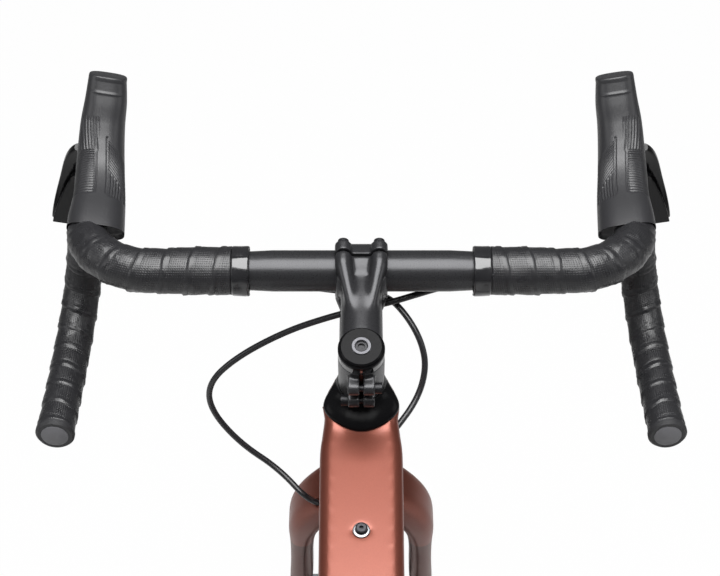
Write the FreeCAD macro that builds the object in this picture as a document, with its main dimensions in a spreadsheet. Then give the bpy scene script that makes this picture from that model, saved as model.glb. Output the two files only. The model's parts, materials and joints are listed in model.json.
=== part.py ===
# Gravel bicycle with a flared drop bar, disc brakes and one chainring.
# X points to the rider's right, Y forwards and Z up, from the ground midway between the axles.
import FreeCAD, Part
import Sketcher
import math
import os
from FreeCAD import Placement, Rotation, Vector

SIZES = [
    ("wheelbase", 1030, "front axle to rear axle"),
    ("bead_seat_radius", 311, "rim bead seat, 622 mm across"),
    ("tyre_height", 40, "crown of the tread above the bead seat"),
    ("tyre_width", 40, "tyre across its casing"),
    ("tyre_wall", 3, "casing and tread"),
    ("bb_drop", 72, "bottom bracket below the axles"),
    ("chainstay_length", 428, "bottom bracket to rear axle"),
    ("head_angle", 71.5, "steering axis above the horizon, degrees"),
    ("seat_angle", 73.5, "seat tube above the horizon, degrees"),
    ("fork_length", 395, "front axle to crown race"),
    ("fork_rake", 50, "front axle ahead of the steering axis"),
    ("fit_gap", 0.1, "gap between pieces that are fitted together"),
    ("run_gap", 0.3, "gap between pieces that move past each other"),
    ("head_tube_length", 140, "head tube between its bearing faces"),
    ("race_height", 4, "crown race under the lower bearing"),
    ("head_top_width", 60, "head tube across at its top rim"),
    ("head_top_front", 23.5, "head tube's top rim ahead of the steering axis"),
    ("head_top_back", 37, "head tube's top rim behind the steering axis"),
    ("head_waist_width", 50, "head tube across at its waist"),
    ("head_foot_width", 61, "head tube across at its lower bearing"),
    ("steerer_radius", 14.3, "steerer at the stem, 28.6 mm across"),
    ("steerer_foot_radius", 19.9, "steerer at the crown race"),
    ("steerer_bore", 11.5, "inside radius of the steerer"),
    ("upper_bearing_radius", 20.9, "outside of the upper headset bearing"),
    ("lower_bearing_radius", 26, "outside of the lower headset bearing"),
    ("bearing_height", 7, "headset bearings"),
    ("cover_height", 14, "headset cover above the head tube"),
    ("cover_rim", 1.6, "head tube rim left bare round the cover"),
    ("top_tube_drop", 9.8, "fall of the top tube towards the seat, degrees"),
    ("top_tube_width", 62, "top tube across behind the head tube"),
    ("top_tube_height", 44, "top tube deep behind the head tube"),
    ("top_tube_end_width", 38, "top tube across at the seat tube"),
    ("top_tube_end_height", 33, "top tube deep at the seat tube"),
    ("top_tube_corner", 9, "corner radius of the top tube"),
    ("down_tube_width", 66, "down tube across"),
    ("down_tube_height", 52, "down tube deep"),
    ("down_tube_start", 62, "down tube axis above the crown race, on the steering axis"),
    ("seat_tube_radius", 17.5, "outside of the seat tube"),
    ("seat_tube_length", 500, "bottom bracket to the top of the seat tube"),
    ("bb_shell_width", 86.5, "bottom bracket shell across"),
    ("bb_shell_radius", 27, "outside of the bottom bracket shell"),
    ("bb_bore", 23, "inside radius of the bottom bracket shell"),
    ("rear_spacing", 142, "between the rear dropouts"),
    ("front_spacing", 100, "between the fork dropouts"),
    ("dropout_thickness", 8, "plate at each axle end"),
    ("dropout_radius", 15, "round end of each rear dropout"),
    ("axle_radius", 6, "thru axles, 12 mm across"),
    ("seatpost_radius", 13.6, "seatpost, 27.2 mm across"),
    ("seatpost_length", 350, "seatpost with its head"),
    ("post_room", 105, "bore left free below the seatpost"),
    ("saddle_height", 715, "bottom bracket to the saddle rails, along the seat tube"),
    ("saddle_length", 262, "saddle nose to tail"),
    ("saddle_width", 143, "saddle at its widest"),
    ("saddle_pad", 30, "depth of the padding at the middle"),
    ("rail_radius", 3.5, "saddle rails, 7 mm round"),
    ("rail_spacing", 44, "between the saddle rails"),
    ("stem_length", 90, "steering axis to the bar axis, along the stem"),
    ("stem_drop", 6, "stem below square to the steering axis, degrees"),
    ("stem_stack", 42, "height of the stem on the steerer"),
    ("stem_barrel_radius", 17.25, "stem round the steerer"),
    ("stem_tube_radius", 15.9, "stem between its two clamps"),
    ("stem_clamp_width", 40.5, "stem across the bar"),
    ("stem_bolt_spacing", 27.4, "bar clamp bolts across"),
    ("stem_bolt_height", 21, "bar clamp bolts above and below the bar axis"),
    ("spacer_height", 6, "spacer above the stem"),
    ("cap_height", 6, "top cap above the spacer"),
    ("cap_radius", 16, "top face of the top cap"),
    ("bolt_radius", 2.5, "shank of the M5 bolts"),
    ("bolt_head_radius", 4.2, "head of the M5 bolts"),
    ("bolt_head_height", 5, "head of the M5 bolts"),
    ("bar_radius", 15.9, "handlebar at the clamp, 31.8 mm across"),
    ("drop_radius", 11.9, "handlebar at the drops, 23.8 mm across"),
    ("bar_clamp_half", 68, "half of the handlebar's thick middle"),
    ("bar_taper_end", 150, "where the handlebar reaches its drop diameter"),
    ("tape_start", 86, "edge of the finishing tape from the middle of the bar"),
    ("finish_width", 13, "finishing tape along the bar"),
    ("tape_thickness", 2.9, "bar tape with its overlap"),
    ("tape_step", 0.9, "step at the edge of each turn of tape"),
    ("tape_pitch", 20, "one turn of tape along the bar"),
    ("flare", 10.6, "outward lean of the drops and levers, degrees"),
    ("lever_clamp_at", 249, "lever clamp along the bar from its middle"),
    ("lever_clamp_width", 13, "lever clamp band along the bar"),
    ("hose_radius", 2.5, "brake hoses, 5 mm across"),
    ("rotor_radius", 80, "brake rotors, 160 mm across"),
    ("rotor_thickness", 1.8, "brake rotors"),
    ("rotor_track", 14, "width of the swept ring of a rotor"),
    ("front_rotor_offset", 39.8, "front rotor left of the middle"),
    ("rear_rotor_offset", 55.7, "rear rotor left of the middle"),
    ("rim_depth", 38, "rim from its lip to the spokes"),
    ("rim_width", 29, "rim across its lips"),
    ("rim_inner_width", 24.4, "rim between its lips"),
    ("rim_lip", 5.5, "rim lip above the bead seat"),
    ("spoke_count", 24, "spokes in each wheel"),
    ("spoke_radius", 0.95, "round spokes"),
    ("spoke_lead", 52.5, "angle between a spoke's two ends, degrees"),
    ("flange_radius", 21, "spoke heads from the axle"),
    ("flange_thickness", 3.2, "hub flanges"),
    ("chain_pitch", 12.7, "half inch chain"),
    ("chain_line", 47.5, "chain right of the middle"),
    ("roller_radius", 3.85, "chain rollers"),
    ("roller_width", 2.2, "between the inner plates of the chain"),
    ("plate_thickness", 0.7, "side plates of the chain"),
    ("chainring_teeth", 40, "single chainring"),
    ("pulley_teeth", 12, "derailleur pulleys"),
    ("sprocket_pitch", 3.65, "sprocket to sprocket on the cassette"),
    ("cage_length", 78, "derailleur pulley to pulley"),
    ("guide_drop", 127, "guide pulley below the rear axle"),
    ("guide_ahead", 16, "guide pulley ahead of the rear axle"),
    ("crank_length", 172.5, "bottom bracket to pedal"),
    ("crank_inner", 60, "inner face of a crank arm from the middle"),
    ("crank_thickness", 14, "crank arm across"),
    ("spindle_radius", 14.5, "crank spindle, 29 mm across"),
    ("pedal_width", 92, "pedal along its axle"),
    ("pedal_length", 88, "pedal front to back"),
    ("pedal_thickness", 17, "pedal body"),
    ("boss_spacing", 64, "bottle cage screws, centre to centre"),
    ("boss_bore", 2.1, "thread of the bottle cage screws"),
    ("first_bag_bolt", 84, "first top tube bolt behind the head tube rim"),
]

SPROCKETS = [10, 11, 13, 15, 17, 19, 21, 24, 28, 32, 38, 44]
CHAIN_SPROCKET = 5

doc = FreeCAD.newDocument("gravel_bike")
sheet = doc.addObject("Spreadsheet::Sheet", "Sizes")
for row, (alias, value, note) in enumerate(SIZES, 1):
    sheet.set(f"A{row}", note)
    sheet.set(f"B{row}", str(value))
    sheet.setAlias(f"B{row}", alias)
doc.recompute()


class Size(float):
    """A number that remembers the sheet formula that gives it."""

    def __new__(cls, value, formula):
        made = super().__new__(cls, value)
        made.formula = formula
        return made

    def __add__(self, other):
        return Size(float(self) + float(other), f"({self.formula} + {formula(other)})")

    def __sub__(self, other):
        return Size(float(self) - float(other), f"({self.formula} - {formula(other)})")

    def __mul__(self, other):
        return Size(float(self) * float(other), f"({self.formula} * {formula(other)})")

    def __truediv__(self, other):
        return Size(float(self) / float(other), f"({self.formula} / {formula(other)})")

    def __radd__(self, other):
        return Size(float(other) + float(self), f"({formula(other)} + {self.formula})")

    def __rsub__(self, other):
        return Size(float(other) - float(self), f"({formula(other)} - {self.formula})")

    def __rmul__(self, other):
        return Size(float(other) * float(self), f"({formula(other)} * {self.formula})")

    def __neg__(self):
        return Size(-float(self), f"(0 - {self.formula})")


def formula(number):
    return number.formula if isinstance(number, Size) else f"{float(number):.6f}"


class Sheet:
    """The sheet's cells by their aliases, each as a Size."""

    def __getattr__(self, alias):
        return Size(float(sheet.get(alias)), f"Sizes.{alias}")


S = Sheet()
NODES = {}


# Helpers for bound features

def bind(feature, **sizes):
    """Ties properties of a feature to the sheet."""
    for name, size in sizes.items():
        feature.setExpression(name, formula(size))
    return feature


def node(label, feature, placement=None):
    """Names a finished sub-part and puts it in its place."""
    if placement is not None:
        feature.Placement = placement
    feature.Label = label
    NODES[label] = feature
    return feature


def solid_node(label, shape, placement=None):
    """A sub-part whose shape neither a body nor a primitive can give."""
    feature = doc.addObject("Part::Feature", label)
    feature.Shape = shape
    return node(label, feature, placement)


def compound_node(label, features):
    """Several separate solids in one named sub-part."""
    group = doc.addObject("Part::Compound", label)
    group.Links = features
    return node(label, group)


def cylinder(name, radius, height, placement):
    made = doc.addObject("Part::Cylinder", name)
    bind(made, Radius=radius, Height=height)
    made.Placement = placement
    return made


def fused(name, features):
    made = doc.addObject("Part::MultiFuse", name)
    made.Shapes = features
    return made


def cut_from(name, base, tool):
    made = doc.addObject("Part::Cut", name)
    made.Base = base
    made.Tool = tool
    return made


def origin_plane(body, role):
    return next(o for o in body.Origin.OriginFeatures if o.Role == role)


def arc_centre(start, end, radius):
    """Centre of the short arc from start to end; a positive radius turns left."""
    chord = end - start
    left = Vector(-chord.y, chord.x, 0).normalize()
    rise = math.sqrt(max(radius * radius - chord.Length ** 2 / 4, 0.0))
    return start + chord / 2 + left * math.copysign(rise, radius)


def hold_point(sketch, geometry, point, corner):
    """Fixes one end of a sketch line to a corner of the outline, tied to the sheet."""
    for kind, axis, value in (("DistanceX", -2, corner[0]), ("DistanceY", -1, corner[1])):
        if not isinstance(value, Size) and value == 0:
            sketch.addConstraint(Sketcher.Constraint("PointOnObject", geometry, point, axis))
            continue
        index = sketch.addConstraint(Sketcher.Constraint(kind, -1, 1, geometry, point, float(value)))
        if isinstance(value, Size):
            sketch.setExpression(f"Constraints[{index}]", value.formula)


def add_outline(sketch, corners):
    """A closed outline of lines and arcs. A corner is (x, y), or (x, y, radius) where an arc leads to it."""
    count = len(corners)
    segments = []
    for i, corner in enumerate(corners):
        before = corners[i - 1]
        start, end = Vector(*map(float, before[:2]), 0), Vector(*map(float, corner[:2]), 0)
        if len(corner) == 2:
            index = sketch.addGeometry(Part.LineSegment(start, end), False)
            segments.append((index, 1, 2))
            continue
        centre = arc_centre(start, end, float(corner[2]))
        first, last = (start, end) if corner[2] > 0 else (end, start)
        angles = [math.atan2(p.y - centre.y, p.x - centre.x) for p in (first, last)]
        circle = Part.Circle(centre, Vector(0, 0, 1), abs(float(corner[2])))
        index = sketch.addGeometry(Part.ArcOfCircle(circle, *angles), False)
        segments.append((index, 1, 2) if corner[2] > 0 else (index, 2, 1))
    for i, (index, _, tail) in enumerate(segments):
        following, head, _ = segments[(i + 1) % count]
        sketch.addConstraint(Sketcher.Constraint("Coincident", index, tail, following, head))
        hold_point(sketch, index, tail, corners[i])
        if len(corners[i]) == 3:
            radius = corners[i][2]
            held = sketch.addConstraint(Sketcher.Constraint("Radius", index, abs(float(radius))))
            if isinstance(radius, Size):
                sketch.setExpression(f"Constraints[{held}]", f"abs({radius.formula})")


def add_circle(sketch, x, y, radius):
    centre = Vector(float(x), float(y), 0)
    index = sketch.addGeometry(Part.Circle(centre, Vector(0, 0, 1), float(radius)), False)
    hold_point(sketch, index, 3, (x, y))
    held = sketch.addConstraint(Sketcher.Constraint("Radius", index, float(radius)))
    if isinstance(radius, Size):
        sketch.setExpression(f"Constraints[{held}]", radius.formula)


def sketch_on(body, role, outlines=(), circles=()):
    sketch = body.newObject("Sketcher::SketchObject", f"{body.Name}_sketch")
    sketch.AttachmentSupport = [(origin_plane(body, role), "")]
    sketch.MapMode = "FlatFace"
    for outline in outlines:
        add_outline(sketch, outline)
    for circle in circles:
        add_circle(sketch, *circle)
    return sketch


def new_body(label):
    return doc.addObject("PartDesign::Body", label)


def turned(body, outline, role="XZ_Plane", axis="H_Axis"):
    """Turns an outline of (along the axis, radius) about the sketch's axis."""
    sketch = sketch_on(body, role, [outline])
    made = body.newObject("PartDesign::Revolution", f"{body.Name}_turned")
    made.Profile = sketch
    made.ReferenceAxis = (sketch, [axis])
    made.Angle = 360
    doc.recompute()
    return made


def padded(body, role, length, outlines=(), circles=(), reverse=False, middle=False):
    made = body.newObject("PartDesign::Pad", f"{body.Name}_pad")
    made.Profile = sketch_on(body, role, outlines, circles)
    made.Midplane = middle
    made.Reversed = reverse
    bind(made, Length=length)
    doc.recompute()
    return made


def pocketed(body, role, outlines=(), circles=()):
    """Cuts right through the body, both ways from the sketch."""
    made = body.newObject("PartDesign::Pocket", f"{body.Name}_pocket")
    made.Profile = sketch_on(body, role, outlines, circles)
    made.Type = "ThroughAll"
    made.Midplane = True
    before = made.BaseFeature.Shape.Volume if made.BaseFeature else 0
    doc.recompute()
    if before and made.Shape.Volume >= before:
        raise RuntimeError(f"the pocket in {body.Label} cuts nothing")
    return made


def patterned(body, feature, count, axis):
    """Repeats a feature round an origin axis of its body."""
    made = body.newObject("PartDesign::PolarPattern", f"{body.Name}_pattern")
    made.Originals = [feature]
    made.Axis = (origin_plane(body, axis), [""])
    made.Angle = 360
    bind(made, Occurrences=count)
    body.Tip = made
    doc.recompute()
    return made


# Helpers for lofts, sweeps and copies

def rounded_rectangle(width, height, corner):
    """A wire of four lines and four arcs in the XY plane, centred on the origin."""
    x, y = width / 2, height / 2
    r = min(corner, 0.49 * min(width, height))
    k = r * (1 - math.sqrt(0.5))
    straight = [((x - r, -y), (x, -y + r)), ((x, y - r), (x - r, y)),
                ((-x + r, y), (-x, y - r)), ((-x, -y + r), (-x + r, -y))]
    middles = [(x - k, -y + k), (x - k, y - k), (-x + k, y - k), (-x + k, -y + k)]
    edges = []
    for i, (start, end) in enumerate(straight):
        edges.append(Part.Arc(Vector(*start, 0), Vector(*middles[i], 0), Vector(*end, 0)).toShape())
        following = straight[(i + 1) % 4][0]
        edges.append(Part.LineSegment(Vector(*end, 0), Vector(*following, 0)).toShape())
    return Part.Wire(edges)


def facing(point, forward, up):
    """The placement that carries local Z to forward and local Y as near to up as it can be."""
    return Placement(point, Rotation(up.cross(forward), up, forward, "ZYX"))


def section(wire, point, forward, up):
    placed = wire.copy()
    placed.Placement = facing(point, forward, up)
    return placed


def loft(wires, ruled=False):
    made = Part.makeLoft(wires, True, ruled)
    return made if made.Volume > 0 else made.reversed()


def mirrored(shape):
    """The same piece on the other side of the bicycle."""
    return shape.mirror(Vector(0, 0, 0), Vector(1, 0, 0))


def both_sides(shape):
    return Part.Compound([shape, mirrored(shape)])


def rounded_path(points, share=0.45):
    """Straight runs through the points, joined by tangent arcs as large as the runs allow."""
    edges, start = [], points[0]
    for before, corner, after in zip(points, points[1:], points[2:]):
        back, ahead = before - corner, after - corner
        reach = share * min(back.Length, ahead.Length)
        back, ahead = back.normalize(), ahead.normalize()
        half_turn = (math.pi - back.getAngle(ahead)) / 2
        inward = (back + ahead).normalize()
        radius = reach / math.tan(half_turn)
        first, last = corner + back * reach, corner + ahead * reach
        middle = corner + inward * (radius / math.cos(half_turn) - radius)
        edges.append(Part.LineSegment(start, first).toShape())
        edges.append(Part.Arc(first, middle, last).toShape())
        start = last
    edges.append(Part.LineSegment(start, points[-1]).toShape())
    return edges


def path_between(edges, begin, finish):
    """The stretch of a path between two distances along it."""
    kept, passed = [], 0.0
    for edge in edges:
        low, high = max(begin - passed, 0.0), min(finish - passed, edge.Length)
        if high - low > 1e-6:
            ends = [edge.getParameterByLength(d) for d in (low, high)]
            kept.append(edge.Curve.toShape(*ends))
        passed += edge.Length
    return kept


def path_point(edges, distance):
    """Point and direction at a distance along a path."""
    for edge in edges:
        if distance <= edge.Length or edge is edges[-1]:
            at = edge.getParameterByLength(min(distance, edge.Length))
            return edge.valueAt(at), edge.tangentAt(at)
        distance -= edge.Length


def path_length(edges):
    return sum(edge.Length for edge in edges)


def tube(edges, radius):
    """A round solid swept along a path."""
    spine = Part.Wire(edges)
    start, direction = path_point(edges, 0)
    ring = Part.Wire(Part.Circle(start, direction, radius).toShape())
    made = spine.makePipeShell([ring], True, False)
    wanted = math.pi * radius ** 2 * path_length(edges)
    if not made.isValid() or abs(made.Volume - wanted) > 0.02 * wanted:
        raise RuntimeError(f"a tube of radius {radius} came out wrong")
    return made


def rod(radius, start, end):
    """A round bar between two points."""
    return Part.makeCylinder(radius, (end - start).Length, start, end - start)


def block(low, high):
    """A box between two corners."""
    size = high - low
    return Part.makeBox(size.x, size.y, size.z, low)


def hole_through(shape, radius, start, end):
    return shape.cut(rod(radius, start, end))


def one_solid(shape, label):
    """The single solid in a shape that must be whole."""
    if len(shape.Solids) != 1:
        raise RuntimeError(f"{label} has {len(shape.Solids)} solids")
    return shape.Solids[0]


# Reference points and placements

WHEEL_RADIUS = S.bead_seat_radius + S.tyre_height
FRONT = Vector(0, S.wheelbase / 2, WHEEL_RADIUS)
REAR = Vector(0, -S.wheelbase / 2, WHEEL_RADIUS)
BB = Vector(0, REAR.y + math.sqrt(S.chainstay_length ** 2 - S.bb_drop ** 2), REAR.z - S.bb_drop)

TILT = math.radians(90 - S.head_angle)
AXLE_BELOW = math.sqrt(S.fork_length ** 2 - S.fork_rake ** 2)
HEAD_UP = Vector(0, -math.sin(TILT), math.cos(TILT))
HEAD_AHEAD = Vector(0, math.cos(TILT), math.sin(TILT))
CROWN = FRONT - HEAD_AHEAD * S.fork_rake + HEAD_UP * AXLE_BELOW
STEER = Placement(CROWN, Rotation(Vector(1, 0, 0), math.degrees(TILT)))

SEAT_UP = Vector(0, -math.cos(math.radians(S.seat_angle)), math.sin(math.radians(S.seat_angle)))
SEAT_TOP = BB + SEAT_UP * S.seat_tube_length
POST_FOOT = BB + SEAT_UP * (S.saddle_height - S.seatpost_length)

HEAD_FOOT = S.race_height
HEAD_TOP = S.race_height + S.head_tube_length
STEM_FOOT = HEAD_TOP + S.cover_height
STEM_TOP = STEM_FOOT + S.stem_stack
SPACER_TOP = STEM_TOP + S.spacer_height
CAP_TOP = SPACER_TOP + S.cap_height
STEM = STEER * Placement(Vector(0, 0, STEM_FOOT + S.stem_stack / 2), Rotation(Vector(1, 0, 0), -S.stem_drop))
BAR = STEM * Vector(0, S.stem_length, 0)

ACROSS = Vector(1, 0, 0)
ALONG = Vector(0, 1, 0)
ABOVE = Vector(0, 0, 1)
SIDEWAYS = Rotation(ALONG, ABOVE, ACROSS, "ZYX")


# Wheels

def make_rim(label, centre):
    half, inner = S.rim_width / 2, S.rim_inner_width / 2
    lip, bead = S.bead_seat_radius + S.rim_lip, S.bead_seat_radius
    foot = lip - S.rim_depth
    wall = S.rim_depth * 1.25
    body = new_body(label)
    turned(body, [(-half, lip), (-half, bead - 4), (-4, foot, wall), (4, foot), (half, bead - 4, wall), (half, lip),
                  (inner, lip), (inner, bead), (7, bead - 0.6), (5, bead - 4), (-5, bead - 4), (-7, bead - 0.6),
                  (-inner, bead), (-inner, lip)])
    return node(label, body, Placement(centre, Rotation()))


def make_tyre(label, centre):
    bead_x, bead_r = S.rim_inner_width / 2 - S.fit_gap, S.bead_seat_radius + S.fit_gap
    neck = S.bead_seat_radius + S.rim_lip + 0.6
    half, middle = S.tyre_width / 2, S.bead_seat_radius + S.tyre_height * 0.55
    side, crown = S.tyre_width * 0.5, (S.tyre_width + S.tyre_height) * 0.26
    inside, hollow = half - S.tyre_wall, crown - S.tyre_wall
    body = new_body(label)
    turned(body, [(bead_x - 3.5, bead_r), (bead_x, bead_r), (bead_x, neck), (half, middle, side),
                  (0, WHEEL_RADIUS, crown), (-half, middle, crown), (-bead_x, neck, side), (-bead_x, bead_r),
                  (3.5 - bead_x, bead_r), (2.6 - bead_x, neck), (-inside, middle, -side),
                  (0, WHEEL_RADIUS - S.tyre_wall, -hollow), (inside, middle, -hollow), (bead_x - 2.6, neck, -side)])
    return node(label, body, Placement(centre, Rotation()))


def make_hub(label, centre, half_width, left, right, rotor, driver):
    """A hub with its flanges at left and right, the rotor spline and, on a rear wheel, the driver's sleeve."""
    bore, flange, half = S.axle_radius + S.run_gap, S.flange_radius + 3, S.flange_thickness / 2
    end, spline = half_width - S.run_gap, 17
    sleeve = [(end, bore + 3.2), (driver, bore + 3.2)] if driver else [(end, bore + 3.2), (end - 9, bore + 3.2)]
    last = sleeve[-1][0]
    body = new_body(label)
    turned(body, [(-end, bore), (end, bore)] + sleeve + [
        (last, 15), (right + half, 15), (right + half, flange), (right - half, flange), (right - half, 14),
        (left + half, 14), (left + half, flange), (left - half, flange), (left - half, 19), (5 - rotor, 19),
        (5 - rotor, spline), (-rotor - 5, spline), (-rotor - 5, bore + 3.2), (-end, bore + 3.2)])
    return node(label, body, Placement(centre, Rotation()))


def make_spokes(label, centre, left, right):
    """Crossed spokes, each with its nipple against the rim."""
    per_side = int(S.spoke_count) // 2
    rim_radius = S.bead_seat_radius + S.rim_lip - S.rim_depth - 0.25
    beside = S.flange_thickness / 2 + S.spoke_radius + S.fit_gap
    spokes = []
    for side, flange in ((-1, left), (1, right)):
        for i in range(per_side):
            leading = 1 if i % 2 else -1
            at_rim = math.radians(360 * i / per_side + (90 / per_side) * (side + 1))
            at_hub = at_rim + leading * math.radians(S.spoke_lead)
            outwards = 1.2 if leading == side else 0.0
            inner = Vector(flange + leading * (beside + outwards), S.flange_radius * math.cos(at_hub),
                           S.flange_radius * math.sin(at_hub))
            outer = Vector(1.6 * side, rim_radius * math.cos(at_rim), rim_radius * math.sin(at_rim))
            inwards = (inner - outer).normalize()
            spokes.append(rod(S.spoke_radius, inner, outer).fuse(rod(1.9, outer, outer + inwards * 11)))
    return solid_node(label, Part.Compound(spokes), Placement(centre, Rotation()))


def make_rotor(label, centre, offset):
    outer, inner = S.rotor_radius, S.rotor_radius - S.rotor_track
    body = new_body(label)
    padded(body, "YZ_Plane", S.rotor_thickness, circles=[(0, 0, outer), (0, 0, inner)], middle=True)
    arm = padded(body, "YZ_Plane", S.rotor_thickness, middle=True,
                 outlines=[[(20, -6), (inner * 0.55, 4), (inner + 2, 15), (inner - 1, 23), (inner * 0.5, 11),
                            (18, 6)]])
    patterned(body, arm, Size(6, "6"), "X_Axis")
    padded(body, "YZ_Plane", S.rotor_thickness, circles=[(0, 0, 26), (0, 0, 17 + S.fit_gap)], middle=True)
    for radius, size in ((outer - S.rotor_track * 0.3, 1.6), (outer - S.rotor_track * 0.7, 1.6)):
        hole = pocketed(body, "YZ_Plane", circles=[(radius, 0, size)])
        patterned(body, hole, Size(36, "36"), "X_Axis")
    return node(label, body, Placement(centre - ACROSS * offset, Rotation()))


FRONT_FLANGES = (-22, 33)
REAR_FLANGES = (-34, 19)
DRIVER_START = 23.2

for name, centre, flanges, spacing, rotor, driver in (
        ("front", FRONT, FRONT_FLANGES, S.front_spacing, S.front_rotor_offset, 0),
        ("rear", REAR, REAR_FLANGES, S.rear_spacing, S.rear_rotor_offset, DRIVER_START)):
    make_tyre(f"{name}_tyre", centre)
    make_rim(f"{name}_rim", centre)
    make_spokes(f"{name}_spokes", centre, *flanges)
    make_hub(f"{name}_hub", centre, spacing / 2, *flanges, rotor, driver)
    make_rotor(f"{name}_rotor", centre, rotor)


# Frame

def head_section(height, front, half_front, half_back, back):
    """An egg-shaped section square to the steering axis, wider behind the axis than ahead of it."""
    half = [(0, front), (0.62 * half_front, 0.8 * front), (half_front, 0.15 * front), (half_back, -0.45 * back),
            (0.68 * half_back, -0.78 * back), (0, -back)]
    corners = half + [(-x, y) for x, y in half[-2:0:-1]]
    curve = Part.BSplineCurve()
    curve.interpolate([STEER * Vector(x, y, height) for x, y in corners], PeriodicFlag=True)
    return Part.Wire(curve.toShape())


def round_section(height, radius):
    return head_section(height, radius, radius, 0.893 * radius, radius)


RIM_BACK = STEER * Vector(0, -S.head_top_back, HEAD_TOP)
FALL = math.radians(S.top_tube_drop)
TOP_BACK = Vector(0, -math.cos(FALL), -math.sin(FALL))
TOP_UP = Vector(0, -math.sin(FALL), math.cos(FALL))


def crossing(start, direction, base, axis):
    """How far along a line in the middle plane it meets another line."""
    gap = base - start
    return (gap.y * axis.z - gap.z * axis.y) / (direction.y * axis.z - direction.z * axis.y)


TOP_RUN = crossing(RIM_BACK, TOP_BACK, BB, SEAT_UP)
TOP_LEAD = -crossing(RIM_BACK, TOP_BACK, CROWN, HEAD_UP)


def top_tube():
    """Flat on top: every section hangs from the same line."""
    wide, high = S.top_tube_width, S.top_tube_height
    stations = [(-TOP_LEAD, S.head_waist_width * 0.9, high * 0.9), (-0.4 * TOP_LEAD, S.head_top_width - 3, high * 0.95),
                (10, wide, high), (TOP_RUN * 0.25, wide - 0.6, high)]
    stations += [(TOP_RUN * share, wide + (S.top_tube_end_width - wide) * ease, high + (S.top_tube_end_height - high) * ease)
                 for share, ease in ((0.4, 0.16), (0.55, 0.4), (0.7, 0.68), (0.85, 0.9), (1, 1))]
    wires = []
    for run, width, height in stations:
        middle = RIM_BACK + TOP_BACK * run - TOP_UP * (height / 2)
        wires.append(section(rounded_rectangle(width, height, S.top_tube_corner), middle, TOP_BACK, TOP_UP))
    return loft(wires, ruled=True)


DOWN_START = STEER * Vector(0, 0, S.down_tube_start)
DOWN_AXIS = (BB - DOWN_START).normalize()
DOWN_UP = Vector(0, DOWN_AXIS.z, -DOWN_AXIS.y)
DOWN_RUN = (BB - DOWN_START).Length


def down_tube():
    stations = [(0, S.head_waist_width * 0.92, S.down_tube_height * 0.92), (DOWN_RUN * 0.22, S.down_tube_width * 0.92,
                S.down_tube_height), (DOWN_RUN * 0.8, S.down_tube_width, S.down_tube_height * 0.96),
                (DOWN_RUN, S.down_tube_width, S.down_tube_height * 0.88)]
    wires = [section(rounded_rectangle(width, height, 15), DOWN_START + DOWN_AXIS * run, DOWN_AXIS, DOWN_UP)
             for run, width, height in stations]
    return loft(wires)


BOSS_SEAT = 1.2
INSERT_RADIUS = 3.9
INSERT_LENGTH = 12.0
SEAT_BOSS = 180.0
DOWN_BOSS = DOWN_RUN * 0.5


def bottle_points():
    """Seat and outward direction of every bottle cage insert: two on the down tube, two on the seat tube."""
    ahead = Vector(0, SEAT_UP.z, -SEAT_UP.y)
    points = []
    for offset in (-S.boss_spacing / 2, S.boss_spacing / 2):
        lift = S.down_tube_height * 0.98 / 2 + BOSS_SEAT
        points.append((DOWN_START + DOWN_AXIS * (DOWN_BOSS + offset) + DOWN_UP * lift, DOWN_UP))
        points.append((BB + SEAT_UP * (SEAT_BOSS + offset) + ahead * (S.seat_tube_radius + BOSS_SEAT), ahead))
    return points


def bag_points():
    return [RIM_BACK + TOP_BACK * (S.first_bag_bolt + i * S.boss_spacing) for i in range(2)]


PORT = STEER * Vector(S.head_waist_width / 2 - 1, -9, 88)
PORT_INSIDE = PORT + Vector(-9, -7, -7)


def bar_relative(*place):
    return BAR + Vector(*place)


FRONT_HOSE = rounded_path([
    bar_relative(S.tape_start - 0.5, 8, -16.5), bar_relative(62, 4, -20), bar_relative(42, -1.6, -23),
    bar_relative(24, -3, -29), bar_relative(4, -3, -35), bar_relative(-25, -3, -44.5), bar_relative(-60, -3, -60),
    bar_relative(-98, -8, -82), bar_relative(-122, -10, -108), bar_relative(-123, -8, -140),
    bar_relative(-100, -13, -174), bar_relative(-67, -22, -196), STEER * Vector(-41, -24, -11),
    STEER * Vector(-30, -13, -34)])
REAR_HOSE = rounded_path([
    bar_relative(0.5 - S.tape_start, 8, -16.5), bar_relative(-62, 10, -20), bar_relative(-30, 12, -29),
    bar_relative(0, 13, -33), bar_relative(21, 10, -34), bar_relative(36, -4, -43), bar_relative(47, -18, -57),
    bar_relative(51, -28, -76), bar_relative(44, -42, -97), PORT, PORT_INSIDE])


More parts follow.
